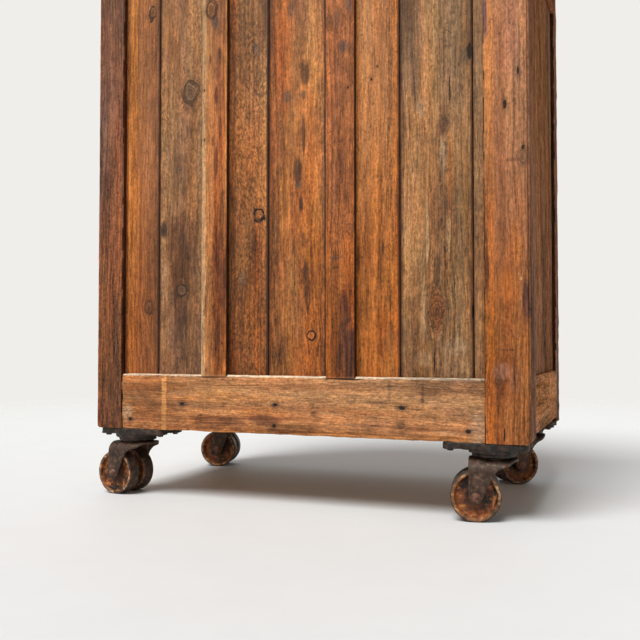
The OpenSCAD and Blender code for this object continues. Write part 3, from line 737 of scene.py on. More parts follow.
backBoardLooks = [
    {"seed": 3.1, "tone": (170, 108, 63), "lowTint": (0.57, 0.51, 0.46), "pith": (0.05, 0.08), "ringWidth": 5,
     "grain": 1.05, "sponge": 0.25, "warmth": 0.4, "stainAmount": 0.3, "weatherAmount": 0.15, "contrast": 0.3,
     "knots": ((324, 384, 9, 1.3, 0.5, 0.8), (318, 995, 8, 1.4, 0.8, 0.7)),
     # the bright band at 366 beside the post is partly the board's own orange and partly painted light that lifts the
     # post's shadow
     "patches": ((366, 650, 11, full, (1.55, 1.42, 0.95)), (352, 560, 5, 300, (1.2, 1.12, 0.9)),
                 (306, 650, 6, full, (0.66, 0.68, 0.76)), (318, 480, 13, 170, (0.72, 0.74, 0.8)),
                 (322, 850, 14, 120, (0.82, 0.84, 0.94)), (345, 500, 4, 190, (0.78, 0.7, 0.6))),
     "paints": ((372, 700, 2, 160, (226, 150, 74), 0.5),)},
    {"seed": 5.7, "tone": (162, 113, 73), "lowTint": (0.65, 0.64, 0.7), "pith": (-0.03, -0.07), "ringWidth": 7,
     "grain": 0.8, "sponge": 0.75, "stainAmount": 0.45, "weather": (176, 150, 122), "weatherAmount": 0.4,
     "contrast": 0.3, "knotTone": (150, 124, 100), "warmth": 0.8,
     "knots": ((229, 820, 16, 1.4, 0.6, 0.9), (246, 419, 10, 1.2, 0.8, 0.6), (254, 663, 4, 1.5, 0.2, 0.9)),
     "patches": ((252, 470, 22, 150, (0.52, 0.48, 0.49)), (276, 540, 12, 70, (0.66, 0.62, 0.62)),
                 (258, 700, 12, 60, (0.8, 0.78, 0.8)), (268, 860, 14, 70, (0.84, 0.82, 0.84)),
                 (240, 890, 8, 60, (1.16, 1.18, 1.2)), (225, 600, 10, 50, (1.16, 1.16, 1.16)),
                 (291, 650, 7, full, (1.14, 1.15, 1.16)), (206, 720, 7, full, (0.9, 1.02, 1.2)),
                 (286, 430, 10, 50, (1.2, 1.24, 1.3)), (270, 330, 22, 40, (1.18, 1.22, 1.28))),
     "paints": ((290, 542, 8, 20, (44, 38, 34), 0.9), (199, 650, 2.6, full, (60, 44, 36), 0.8),
                (248, 520, 5, 30, smear, 0.5), (262, 400, 5, 30, smear, 0.5), (232, 470, 4, 24, smear, 0.5),
                (238, 368, 5, 24, smear, 0.45), (216, 470, 9, 60, grey, 0.35))},
    {"seed": 8.3, "tone": (169, 109, 62), "lowTint": (0.57, 0.47, 0.36), "weatherAmount": 0.3, "grain": 0.6,
     "sponge": 1.1, "warmth": 0.8, "stainAmount": 0.6, "pith": (0.06, -0.1), "knotTone": (160, 122, 86),
     "knots": ((75, 563, 10, 1.2, 1.0, 0.25), (116, 434, 7, 1.3, 0.3, 0.3), (121, 874, 4, 1, 0.5, 0.2)),
     # the dark band at 131 beside the batten is painted shade
     "patches": ((61, 600, 7, 330, (1.3, 1.42, 1.5)), (131, 650, 6, full, (0.6, 0.5, 0.44)),
                 (100, 900, 16, 110, (0.82, 0.78, 0.76)), (108, 620, 12, 60, (0.76, 0.7, 0.66)),
                 (84, 480, 12, 60, (0.7, 0.62, 0.55)), (92, 340, 20, 60, (1.1, 1.12, 1.1))),
     "paints": ((58, 650, 1.8, full, (26, 17, 12), 0.8), (73, 797, 4, 9, grey, 0.8), (83, 888, 8, 16, grey, 0.7),
                (96, 630, 5, 26, smear, 0.55), (112, 930, 9, 40, smear, 0.35), (80, 832, 5, 30, smear, 0.5),
                (100, 760, 6, 20, smear, 0.35), (86, 505, 6, 34, smear, 0.5),
                (112, 436, 7, 16, (150, 118, 92), 0.4))},
    {"seed": 11.9, "tone": (174, 110, 62), "lowTint": (0.74, 0.65, 0.49), "stainAmount": 0.4, "grain": 1.1,
     "sponge": 0.5, "warmth": 0.9, "weatherAmount": 0.15, "pith": (0.01, 0.07), "ringWidth": 8,
     "knotTone": (150, 112, 80),
     "knots": ((-34, 327, 8, 1.1, 1.0, 0.3),),
     "patches": ((-36, 560, 20, 350, (1.2, 1.2, 1.05)), (-40, 880, 18, 130, (1.22, 1.24, 1.2)),
                 (48, 650, 6, full, (0.78, 0.68, 0.62)), (20, 560, 12, 90, (1.2, 1.2, 1.0)),
                 (24, 880, 22, 120, (1.02, 0.86, 0.72)), (0, 280, 40, 50, (0.82, 0.76, 0.7))),
     "paints": ((-20, 829, 10, 24, smear, 0.8), (-17, 788, 6, 9, grey, 0.8), (17, 788, 9, 13, grey, 0.8),
                (-18, 712, 4, 36, smear, 0.7), (-6, 640, 10, 30, smear, 0.85), (-8, 614, 6, 8, grey, 0.8),
                (-13, 576, 5, 16, smear, 0.9), (-19, 508, 5, 16, smear, 0.6), (-23, 446, 6, 24, (64, 40, 28), 0.9),
                (-27, 402, 7, 30, (56, 36, 26), 0.95), (-63.6, 650, 3.4, full, (36, 23, 16), 0.85),
                (8, 955, 7, 18, grey, 0.7), (30, 300, 16, 30, smear, 0.35), (-10, 690, 14, 3, (112, 66, 38), 0.4))},
    {"seed": 14.2, "tone": (184, 120, 68), "lowTint": (0.68, 0.56, 0.35), "stainAmount": 0.28, "grain": 1.05,
     "sponge": 0.35, "weatherAmount": 0.2, "pith": (-0.04, 0.09), "contrast": 0.7,
     "holes": ((-166, 824, 1.5, 2.2), (-154, 801, 1.8, 3)),
     "patches": ((-201, 600, 5, full, (1.12, 0.95, 0.68)), (-150, 880, 13, 90, (1.14, 1.18, 1.24)),
                 (-138, 470, 9, 130, (0.84, 0.8, 0.78)), (-134, 900, 8, 90, (0.84, 0.84, 0.88)),
                 (-180, 330, 20, 50, (0.86, 0.76, 0.66)), (-165, 560, 12, 120, (1.12, 1.1, 1.0))),
     "paints": ((-176, 485, 3.4, 14, (84, 52, 34), 0.85), (-128, 466, 3, 26, (52, 34, 24), 0.8),
                (-150, 905, 9, 44, (150, 112, 84), 0.3), (-190, 320, 10, 30, (120, 76, 44), 0.5))},
    {"seed": 17.6, "tone": (163, 118, 78), "lowTint": (0.83, 0.76, 0.65), "pith": (0.0, 0.06), "ringWidth": 6.5,
     "grain": 1.0, "sponge": 0.5, "warmth": 0.75, "weather": (180, 156, 126), "weatherAmount": 0.6,
     "contrast": 0.45, "stainAmount": 0.4, "knotTone": (124, 76, 42),
     "knots": ((-276, 367, 12, 2.4, 0.3, 0.95), (-291, 703, 6, 1.6, 0.2, 0.5)),
     "patches": ((-222, 930, 12, 60, (0.6, 0.56, 0.54)), (-241, 830, 12, 100, (0.66, 0.68, 0.74)),
                 (-212, 650, 4, full, (0.72, 0.66, 0.62)), (-262, 860, 12, 150, (1.3, 1.22, 1.05)),
                 (-228, 500, 18, 120, (1.12, 1.16, 1.2)), (-318, 480, 8, 200, (0.8, 0.88, 1.0)),
                 (-300, 600, 5, 90, (1.25, 1.02, 0.76)), (-276, 370, 13, 40, (1.15, 0.85, 0.6)),
                 (-310, 280, 22, 34, (1.18, 1.24, 1.32)), (-336, 650, 5, full, (0.8, 0.78, 0.76))),
     "paints": ((-288, 646, 7, 36, (196, 160, 124), 0.6), (-247, 737, 8, 16, (190, 156, 120), 0.5),
                (-251, 385, 6, 70, (190, 148, 104), 0.5), (-276, 441, 6, 30, smear, 0.75),
                (-259, 520, 3, 76, (198, 162, 118), 0.65), (-279, 515, 4, 60, (108, 78, 52), 0.5),
                (-291, 452, 3.4, 46, (172, 104, 50), 0.6), (-310, 306, 26, 14, (180, 146, 112), 0.35),
                (-252, 284, 18, 14, (172, 138, 104), 0.3), (-262, 440, 3, 30, smear, 0.5),
                (-291, 703, 5, 14, grey, 0.6), (-297, 505, 4.4, 40, (202, 160, 112), 0.6),
                (-222, 905, 14, 90, (84, 62, 46), 0.5), (-236, 800, 10, 70, grey, 0.4),
                (-216, 690, 4, 60, smear, 0.35), (-330, 826, 7, 12, (120, 100, 82), 0.5)),
     "holes": ((-301, 765, 1, 26), (-271, 279, 1.3, 22), (-337, 830, 4, 16), (-340.4, 367, 2, 13))},
    {"seed": 21.0, "tone": (157, 113, 74), "lowTint": (0.78, 0.77, 0.72), "stainAmount": 0.4, "dirtAndShade": 0.3},
]
backBoards = []
for nodeName, count in (("back_boards_right", 2), ("back_boards_middle", 3), ("back_boards_left", 2)):
    names = [f"back_board_{len(backBoards) + step}" for step in range(1, count + 1)]
    backBoards += [(board, nodeName) for board in looseBoards(nodeName, names, 0)]
for (board, nodeName), look in zip(backBoards, backBoardLooks):
    # board edges are darkened along the joints: dirt, and painted shade where the boards meet the posts and battens
    spec = {"dirtAndShade": 0.85, "wearAmount": 0.1, **look}
    makeTimber(board, nodeName, "board_wood", {"round": 0.6, "chips": 0.3, "uneven": 0.5}, spec)
print("back boards done")


# Battens, posts and rails. Each line is a node, its record slot, its ageing and its wood.

timbers = {
    "back_right_batten": ("batten_wood", {"chips": 0.4, "uneven": 0.4, "down": 3.4}, {
        "seed": 24.4, "tone": (177, 107, 61), "lowTint": (0.8, 0.76, 0.54), "pith": (0.02, -0.05), "grain": 0.95,
        "sponge": 0.4, "ringWidth": 5, "wearAmount": 0.35, "wear": (206, 150, 104), "stainAmount": 0.4,
        "knotTone": (140, 92, 64),
        "knots": ((175, 974, 11, 1.6, 0.7, 0.9),),
        "holes": ((162, 300, 1.6, 2.2), (190, 815, 1.4, 2), (189, 716, 1.4, 2.4)),
        "patches": ((160, 610, 8, 110, (0.76, 0.68, 0.66)), (155, 400, 13, 170, (0.62, 0.56, 0.58)),
                    (166, 500, 5, 60, (0.7, 0.62, 0.6)), (148, 800, 7, 150, (1.15, 1.05, 0.85))),
        "paints": ((182, 650, 13, full, (200, 136, 82), 0.5), (192, 650, 6, full, cream, 0.75),
                   (142, 800, 2.4, 260, (222, 144, 76), 0.75), (165, 950, 9, 16, grey, 0.8),
                   (156, 885, 3.4, 13, smear, 0.8), (177, 876, 3, 9, smear, 0.6),
                   (163, 803, 5, 18, (92, 46, 32), 0.85), (160, 860, 4, 30, (110, 60, 40), 0.5),
                   (170, 713, 4, 14, (92, 42, 30), 0.8), (163, 672, 5, 34, (100, 52, 34), 0.8),
                   (155, 740, 4, 24, (110, 56, 36), 0.6), (150, 560, 5, 60, smear, 0.45),
                   (146, 420, 7, 70, (84, 42, 28), 0.6), (158, 480, 5, 40, (84, 42, 28), 0.5),
                   (190, 440, 6, 50, (214, 168, 120), 0.5), (162, 330, 6, 40, smear, 0.5)),
    }),
    "back_left_batten": ("batten_wood", {"chips": 0.4, "uneven": 0.4, "down": 3.4}, {
        "seed": 27.9, "tone": (181, 112, 68), "lowTint": (0.7, 0.54, 0.23), "pith": (-0.03, -0.06), "grain": 0.98,
        "sponge": 0.5, "ringWidth": 5.5, "wearAmount": 0.3, "wear": (188, 128, 86), "stainAmount": 0.5,
        "knots": ((-115, 525, 7, 1.3, 0.4, 0.6), (-76, 915, 7, 1.6, 0.2, 0.6)),
        "holes": ((-112, 787, 2, 2.6),),
        "patches": ((-84, 300, 9, 60, (0.6, 0.55, 0.5)), (-112, 400, 12, 40, (0.6, 0.5, 0.44)),
                    (-76, 650, 5, full, (1.12, 1.1, 1.0)), (-96, 640, 8, 80, (0.8, 0.74, 0.72)),
                    (-112, 480, 9, 60, (1.25, 1.1, 0.8)), (-84, 590, 6, 60, (0.84, 0.86, 0.98))),
        "paints": ((-109, 290, 21, 66, (46, 29, 27), 0.92), (-104, 366, 12, 40, (58, 34, 28), 0.7),
                   (-103, 866, 8, 12, grey, 0.75), (-113, 946, 7, 18, grey, 0.75), (-90, 920, 5, 20, grey, 0.4),
                   (-104, 660, 9, 50, (96, 56, 40), 0.55), (-84, 470, 9, 6, grey, 0.5),
                   (-86, 452, 9, 2, smear, 0.6), (-108, 590, 7, 26, smear, 0.45)),
    }),
    "back_right_post": ("dark_pine", {"round": 1.6, "chips": 0.5, "uneven": 0.5, "foot": 9}, {
        "seed": 31.3, "tone": (124, 83, 63), "lowTint": (0.79, 0.68, 0.46), "pith": (0.05, 0.1), "grain": 1.4,
        "sponge": 0.5, "warmth": 1.0, "ringWidth": 4.5, "stainAmount": 0.5, "weatherAmount": 0.15,
        "wear": (178, 112, 68), "wearAmount": 0.5,
        "patches": ((437, 650, 3, full, (1.4, 1.2, 1.0)), (404, 300, 12, 150, (0.8, 0.72, 0.66)),
                    (424, 860, 9, 130, (0.82, 0.84, 0.96)), (392, 620, 6, 200, (1.2, 1.0, 0.85))),
    }),
    "back_left_post": ("orange_pine", {"round": 1.6, "chips": 0.5, "uneven": 0.5, "foot": 7}, {
        "seed": 34.8, "tone": (170, 118, 84), "lowTint": (0.83, 0.57, 0.26), "pith": (0.03, 0.16), "grain": 0.95,
        "sponge": 0.4, "ringWidth": 5, "contrast": 0.6, "stainAmount": 0.22, "weatherAmount": 0.15,
        "wear": (204, 146, 98), "wearAmount": 0.45,
        "knots": ((-428, 633, 7, 1.4, 0.2, 0.7), (-387, 248, 6, 1.3, 0.3, 0.6)),
        "holes": ((-422, 782, 1.8, 7), (-400, 725, 2.8, 8), (-430, 648, 2, 4), (-396, 154, 1.3, 12)),
        "patches": ((-372, 650, 9, full, (1.16, 1.02, 0.68)), (-405, 400, 10, 120, (0.85, 0.75, 0.68)),
                    (-420, 590, 10, 30, (1.15, 1.1, 1.0)), (-410, 880, 14, 110, (0.96, 0.92, 1.06)),
                    (-400, 250, 22, 50, (0.78, 0.68, 0.66)), (-418, 480, 10, 40, (1.3, 1.18, 0.85)),
                    (-376, 300, 9, 110, (1.0, 0.96, 0.8))),
        "paints": ((-366, 890, 4, 50, (86, 64, 78), 0.85), (-433, 382, 6, 42, (50, 34, 40), 0.85),
                   (-367, 430, 4, 44, (84, 46, 28), 0.75), (-412, 628, 13, 3, (112, 66, 42), 0.6),
                   # the two gold-white specks at -425 and -421 are painted glints
                   (-425, 422, 2.6, 2.6, (236, 186, 120), 0.6), (-421, 431, 1.6, 2.4, (236, 186, 120), 0.5),
                   (-392, 262, 16, 14, (172, 122, 98), 0.45), (-402, 300, 16, 2, (92, 52, 34), 0.7),
                   (-404, 410, 20, 30, (184, 104, 44), 0.45), (-414, 250, 14, 26, (150, 96, 68), 0.4)),
    }),
    "back_bottom_rail": ("pale_pine", {"chips": 1.1, "round": 1.6, "uneven": 0.5}, {
        "along": "X", "seed": 38.1, "tone": (176, 120, 75), "lowTint": (1, 1, 1), "pith": (0.02, 0.09),
        "grain": 0.86, "sponge": 0.55, "warmth": 0.6, "ringWidth": 7, "stainAmount": 0.4, "weatherAmount": 0.35,
        "weather": (200, 164, 126), "wear": (222, 180, 134), "wearAmount": 0.6, "wearWidth": 3,
        "holes": ((157, 360, 4, 4), (191, 239, 3.6, 5), (194, 36, 3.6, 5), (154, 38, 4, 4), (195, -214, 3.6, 6),
                  (157, -333, 4, 4.4)),
        "plugs": ((179, -42, 6, 6), (163, -212, 7, 7), (209, -251, 4, 5)),
        "patches": ((200, 320, 60, 76, (0.78, 0.68, 0.58)), (224, 20, 16, 220, (1.14, 1.14, 1.12)),
                    (160, 165, 10, 66, (0.58, 0.5, 0.48)), (165, 60, 8, 28, (0.6, 0.55, 0.5)),
                    (150, 0, 9, 60, (0.6, 0.55, 0.5)), (228, 60, 6, 90, (0.85, 0.82, 0.78)),
                    (142, 0, 5, 1400, (0.74, 0.62, 0.5)), (205, -300, 26, 60, (1.14, 1.16, 1.2)),
                    (205, 160, 12, 120, (1.1, 1.0, 0.84)), (176, 60, 16, 60, (0.84, 0.76, 0.7))),
        "paints": ((195, 281, 120, 6.4, (232, 164, 94), 0.62), (172, 366, 15, 12, (190, 158, 126), 0.6),
                   (154, 213, 9, 2.4, (196, 112, 44), 0.7), (160, -350, 26, 16, (182, 156, 130), 0.35),
                   (141, -130, 3, 130, (226, 150, 86), 0.5), (202, -194, 0.9, 32, black, 0.6),
                   (193, -240, 1.2, 15, black, 0.55), (230, 120, 0.8, 60, smear, 0.5), (191, 239, 4, 11, grey, 0.5),
                   (194, 36, 4, 11, grey, 0.5), (195, -212, 4, 14, grey, 0.5), (157, -333, 5, 7, grey, 0.5),
                   (156, 150, 13, 66, (96, 56, 38), 0.45), (160, 130, 7, 26, (74, 46, 38), 0.5),
                   (164, 62, 11, 36, (84, 50, 38), 0.5), (164, 300, 10, 60, (120, 72, 42), 0.35),
                   (146, 240, 7, 60, (110, 64, 40), 0.4), (226, -190, 24, 3.4, (96, 66, 48), 0.6),
                   (224, -252, 26, 3.4, (92, 64, 50), 0.6), (181, -248, 4, 4, grey, 0.5),
                   (204, -170, 4, 14, (120, 84, 60), 0.6), (249, 0, 3, 1400, (228, 204, 174), 0.9),
                   # the two black lines at 245.6 are painted shadow under the battens' lower ends
                   (245.6, 168, 1.6, 42, black, 0.95), (245.6, -96, 1.6, 42, black, 0.95)),
    }),
    "back_top_rail": ("pale_pine", {}, {
        "along": "X", "seed": 41.5, "tone": (172, 118, 77), "pith": (0.0, 0.08),
        "holes": ((1090, 300, 2.4, 2.4), (1120, 0, 2.4, 2.4), (1092, -280, 2.4, 2.4)),
    }),
    "front_left_post": ("front_wood", {"round": 2}, {
        "seed": 44.6, "tone": (177, 117, 82), "stainAmount": 0.4, "ringWidth": 4.5, "wear": (182, 124, 84),
        "wearAmount": 0.6,
    }),
    "front_right_post": ("front_wood", {"round": 2}, {
        "seed": 47.2, "tone": (179, 118, 80), "stainAmount": 0.4, "ringWidth": 4.5, "wear": (184, 126, 84),
        "wearAmount": 0.6,
    }),
    "left_side_panel": ("side_wood", {"chips": 0.4, "cells": (30, 30, 30)}, {
        "seed": 50.3, "tone": (166, 115, 81), "grain": 1.3, "stainAmount": 0.5, "pith": (0, 0.2),
        "lowTint": (0.9, 0.9, 0.94), "ringWidth": 6, "wearAmount": 0.0, "shine": 0.0,
    }),
    "right_side_panel": ("side_wood", {"chips": 0.4, "cells": (30, 30, 30)}, {
        "seed": 53.4, "tone": (140, 90, 58), "stainAmount": 0.5, "pith": (0, -0.2), "lowTint": (0.9, 0.86, 0.8),
        "ringWidth": 6, "wearAmount": 0.0, "shine": 0.12,
    }),
    "top_board": ("top_wood", {"round": 0.6, "chips": 1.2, "cells": (36, 36, 90)}, {
        "along": "X", "seed": 56.8, "tone": (162, 110, 73), "stainAmount": 0.5, "weatherAmount": 0.35,
        "pith": (-0.05, 0.1), "ringWidth": 8, "wearAmount": 0.6,
    }),
}


def movePoints(piece, chosen, offset):
    # moves the vertices that a test picks out
    editAll(piece)
    bpy.ops.mesh.select_mode(type="VERT")
    bpy.ops.mesh.select_all(action="DESELECT")
    leaveEdit()
    for point in piece.data.vertices:
        point.select = chosen(point.co)
    bpy.ops.object.mode_set(mode="EDIT")
    bpy.ops.transform.translate(value=offset)
    leaveEdit()


endLook = {"endBand": 1 * mm, "faceBand": 3 * mm, "lift": 2.4 * mm, "footSlopes": (18, 36, 54, 72)}


def shapeEnds(piece, ageing):
    # a batten laps over the rail below it, and a post's outer foot is knocked round
    low, high = meshBox(piece)
    if "down" in ageing:
        movePoints(piece, lambda co: co.z < low.z + endLook["endBand"], (0, 0, -ageing["down"] * mm))
        movePoints(piece, lambda co: co.y > high.y - endLook["faceBand"], (0, endLook["lift"], 0))
    if "foot" in ageing:
        foot = ageing["foot"] * mm
        side = 1 if high.x > 0 else -1
        arcCentre = Vector((high.x - foot if side > 0 else low.x + foot, 0, low.z + foot))
        bpy.ops.object.mode_set(mode="EDIT")
        for slope in endLook["footSlopes"]:
            outward = Vector((side * math.sin(math.radians(slope)), 0, -math.cos(math.radians(slope))))
            bpy.ops.mesh.select_all(action="SELECT")
            bpy.ops.mesh.bisect(plane_co=arcCentre + outward * foot, plane_no=outward,
                                clear_outer=True, use_fill=True)
        leaveEdit()


agedTimbers = {}
for nodeName, (slotName, ageing, spec) in timbers.items():
    agedTimbers[nodeName] = copyNode(nodeName, nodeName + "_aged")
    makeTimber(agedTimbers[nodeName], nodeName, slotName, ageing, spec, shapeEnds)


# Painted shade: the narrow faces beside the boards and behind the front posts lie in shade and are painted dark, and
# the open side gets its own copy of the wood, tuned to its look in shade

def paintFaces(nodeNames, suffix, spec, firstSeed, chosen):
    for nodeName in nodeNames:
        piece = agedTimbers[nodeName]
        paint = woodMaterial(nodeName + suffix, {**spec, "seed": firstSeed + len(nodeName)}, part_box(nodeName))
        piece.data.materials.append(paint)
        for face in piece.data.polygons:
            if chosen(face):
                face.material_index = len(piece.data.materials) - 1


postInside = 400 * mm
facing = 0.7
# painted shade: dark wood for the narrow faces that lie in shade beside the boards and behind the front posts
recessShadeSpec = {"tone": (74, 44, 28), "stainAmount": 0.7, "stain": (26, 16, 11), "wearAmount": 0.0, "shine": 0.08}
# painted shade: a copy of the wood for the open side, away from the key lamp, tuned to its look in shade and greyer
# towards the bottom
shadedSideFace = {"tone": (166, 116, 87), "lowTint": (0.72, 0.82, 0.98), "grain": 1.3, "sponge": 0.3, "stainAmount": 0.4,
            "wearAmount": 0.2, "shine": 0.0}
paintFaces(("back_right_batten", "back_left_batten", "back_right_post", "back_left_post"), "_painted_shade", recessShadeSpec, 58.0,
           lambda face: abs(face.normal.x) > facing and abs(face.center.x) < postInside)
paintFaces(("front_left_post", "front_right_post"), "_painted_shade", recessShadeSpec, 59.0, lambda face: face.normal.y > facing)
paintFaces(("back_left_post", "front_left_post"), "_side", shadedSideFace, 60.0,
           lambda face: face.normal.x < -facing and face.center.x < -postInside)
print("posts, battens and rails done")


# Rails that share a node, from the top down

sideRail = {"along": "Y", "tone": (190, 132, 90), "lowTint": (1, 1, 1), "stainAmount": 0.4, "wearAmount": 0.6,
            "ringWidth": 5, "shine": 0.0, "wear": (214, 168, 126)}
darkRail = {**sideRail, "tone": (150, 98, 66), "wear": (160, 112, 78)}
frontRail = {"along": "X", "tone": (175, 114, 76), "lowTint": (1, 1, 1), "stainAmount": 0.4, "ringWidth": 5,
             "wear": (186, 128, 84), "wearAmount": 0.6}
railGroups = {
    "left_side_rails": ("side_wood", {
        "left_top_side_rail": {**darkRail, "seed": 60.1},
        "left_low_side_rail": {**sideRail, "seed": 62.3, "holes": ((200, 120, 2, 6), (196, -60, 2, 6))},
    }),
    "right_side_rails": ("side_wood", {
        "right_top_side_rail": {**darkRail, "seed": 64.9},
        "right_low_side_rail": {**sideRail, "seed": 66.7},
    }),
    "front_rails": ("front_wood", {
        "front_top_rail": {**frontRail, "seed": 68.2},
        "front_middle_rail": {**frontRail, "seed": 70.6},
        "front_bottom_rail": {**frontRail, "seed": 72.9},
    }),
}
for nodeName, (slotName, rails) in railGroups.items():
    for rail in looseBoards(nodeName, list(rails), 2):
        makeTimber(rail, nodeName, slotName, {}, rails[rail.name])
print("side and front rails done")


# Parts inside, which keep their CAD shape

def dressNode(nodeName, material):
    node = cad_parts[nodeName]
    node.data.materials.clear()
    node.data.materials.append(material)
    makeActive(node)


innerWood = {"tone": (168, 128, 88), "stainAmount": 0.35, "wearAmount": 0.2, "contrast": 0.5, "lowTint": (1, 1, 1)}
for nodeName, along in (("floor_boards", "X"), ("left_runners", "Y"), ("right_runners", "Y")):
    spec = {**innerWood, "along": along, "seed": 75.0 + len(nodeName)}
    dressNode(nodeName, woodMaterial(nodeName + "_wood", spec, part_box(nodeName)))


# Drawers: a stained front, pale sides and thin partitions in the type cases

drawerLook = {"frontDepth": 19.05 * mm, "round": 0.9, "chips": 0.5, "uneven": 0.25, "cells": (30, 60, 30)}
caseNames = [f"type_case_{number}" for number in range(1, 8)]
drawerNames = caseNames + ["deep_drawer_1", "deep_drawer_2"]
for index, drawerName in enumerate(drawerNames):
    drawer = copyNode(drawerName, drawerName + "_aged")
    low, high = meshBox(drawer)
    frontY = low.y + drawerLook["frontDepth"]
    ageBoard(drawer, drawerLook)
    frontSpec = {
        "along": "X", "seed": 80.0 + 3.3 * index, "tone": (180 + 4 * (index % 3), 119, 77), "lowTint": (1, 1, 1),
        "stainAmount": 0.35, "ringWidth": 5, "wear": (206, 148, 100), "wearAmount": 0.65,
        "pith": (0.02 * (index % 3 - 1), 0.06 + 0.02 * (index % 2)),
    }
    boxSpec = {**innerWood, "along": "Y", "seed": 81.0 + 3.3 * index}
    frontBox = (low, Vector((high.x, frontY, high.z)))
    drawer.data.materials.append(woodMaterial(drawerName + "_front_wood", frontSpec, frontBox))
    drawer.data.materials.append(woodMaterial(drawerName + "_box_wood", boxSpec, (low, high)))
    for face in drawer.data.polygons:
        face.material_index = 0 if face.center.y < frontY else 1
    fitPiece(drawer, drawerName, "drawer_wood", drawerName)
print("drawers done")


def applyAll():
    bpy.ops.object.transform_apply(location=True, rotation=True, scale=True)


def placeCopy(pattern, name, place, turn=(0, 0, 0)):
    # a copy of a small pattern piece, with its place and turn in the mesh
    piece = pattern.copy()
    piece.data = pattern.data.copy()
    piece.name = name
    bpy.context.scene.collection.objects.link(piece)
    piece.location = place
    piece.rotation_euler = turn
    makeActive(piece)
    applyAll()
    return piece


# Thin slats part each bay of a type case into boxes for the letters

slatLook = {
    "bays": 3,
    "bayStart": -398.2 * mm,
    "bayStep": 268.33 * mm,
    "bayWidth": 259.7 * mm,
    "front": -244.6 * mm,
    "back": 165.6 * mm,
    "fromBottom": 15.4 * mm,
    "tall": 24 * mm,
    "thick": 2 * mm,
    "rows": 6,
    "wideColumns": 4,
    "narrowColumns": 8,
}
bpy.ops.object.select_all(action="DESELECT")
slatDepth = slatLook["back"] - slatLook["front"]
rowDepth = slatDepth / slatLook["rows"]
middleY = (slatLook["back"] + slatLook["front"]) / 2


def addSlat(x, y, wide, deep, lowered=1.0):
    # slats that cross are not quite equally tall, so that their tops don't share a plane
    bpy.ops.mesh.primitive_cube_add(size=1, location=(x, y, 0), scale=(wide, deep, slatLook["tall"] * lowered))


addSlat(slatLook["bayStart"] + slatLook["bayWidth"] / 2, middleY, slatLook["thick"], slatDepth)
slats = bpy.context.object
slats.name = "slatPattern"
applyAll()
bpy.ops.object.mode_set(mode="EDIT")
for bay in range(slatLook["bays"]):
    bayLeft = slatLook["bayStart"] + bay * slatLook["bayStep"]
    bayMiddle = bayLeft + slatLook["bayWidth"] / 2
    if bay:
        addSlat(bayMiddle, middleY, slatLook["thick"], slatDepth)
    for row in range(1, slatLook["rows"]):
        addSlat(bayMiddle, slatLook["front"] + row * rowDepth, slatLook["bayWidth"], slatLook["thick"], 0.98)
    for row in range(slatLook["rows"]):
        columns = slatLook["narrowColumns"] if (row + bay) % 3 == 0 else slatLook["wideColumns"]
        for column in range(1, columns):
            if column * 2 != columns:
                addSlat(bayLeft + column * slatLook["bayWidth"] / columns, slatLook["front"] + (row + 0.5) * rowDepth,
                        slatLook["thick"], rowDepth, 0.96)
leaveEdit()
slatSpec = {**innerWood, "along": "X", "seed": 120.0, "tone": (176, 138, 98)}
slats.data.materials.append(woodMaterial("slatWood", slatSpec, meshBox(slats)))
for caseName in caseNames:
    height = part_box(caseName)[0].z + slatLook["fromBottom"] + slatLook["tall"] / 2
    lattice = placeCopy(slats, caseName + "_slats", (0, 0, height))
    fitPiece(lattice, caseName, "drawer_wood")
bpy.data.objects.remove(slats)
print("slats done")


# Cast pulls, each held by two slotted screws

pullIron = ironMaterial("pullIron", {"iron": (54, 46, 42), "rust": (92, 62, 44), "dust": (130, 104, 84),
                                     "rustAmount": 0.35, "dustAmount": 0.15, "bump": 0.5, "metal": 0.6})
screwLook = {"radius": 3.6 * mm, "dome": 0.42, "slot": 0.8 * mm, "slotDepth": 1.4 * mm, "fromEnd": 7 * mm,
             "faceY": -265.7 * mm}
random.seed(11)
bpy.ops.object.select_all(action="DESELECT")
bpy.ops.mesh.primitive_uv_sphere_add(segments=20, ring_count=10, radius=screwLook["radius"], location=(0, 0, 0),
                                     scale=(1, screwLook["dome"], 1))
screw = bpy.context.object
screw.name = "screwPattern"
applyAll()
bpy.ops.mesh.primitive_cube_add(size=1, location=(0, -screwLook["radius"] * screwLook["dome"], 0),
                                scale=(screwLook["radius"] * 3, screwLook["slotDepth"], screwLook["slot"]))
slotCutter = bpy.context.object
applyModifier(screw, "BOOLEAN", object=slotCutter, operation="DIFFERENCE")
bpy.data.objects.remove(slotCutter)
makeActive(screw)
bpy.ops.object.shade_smooth_by_angle(angle=math.radians(30))
screw.data.materials.append(pullIron)
for drawerName in drawerNames:
    dressNode(drawerName + "_pull", pullIron)
    low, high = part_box(drawerName + "_pull")
    for end, x in (("left", low.x + screwLook["fromEnd"]), ("right", high.x - screwLook["fromEnd"])):
        place = (x, screwLook["faceY"], low.z + screwLook["fromEnd"])
        piece = placeCopy(screw, f"{drawerName}_{end}_screw", place, (0, random.uniform(0, math.pi), 0))
        fitPiece(piece, drawerName, "pull_iron")
bpy.data.objects.remove(screw)


# Casters: iron looks, and how finely each cast piece is remeshed and how much it is smoothed and made uneven

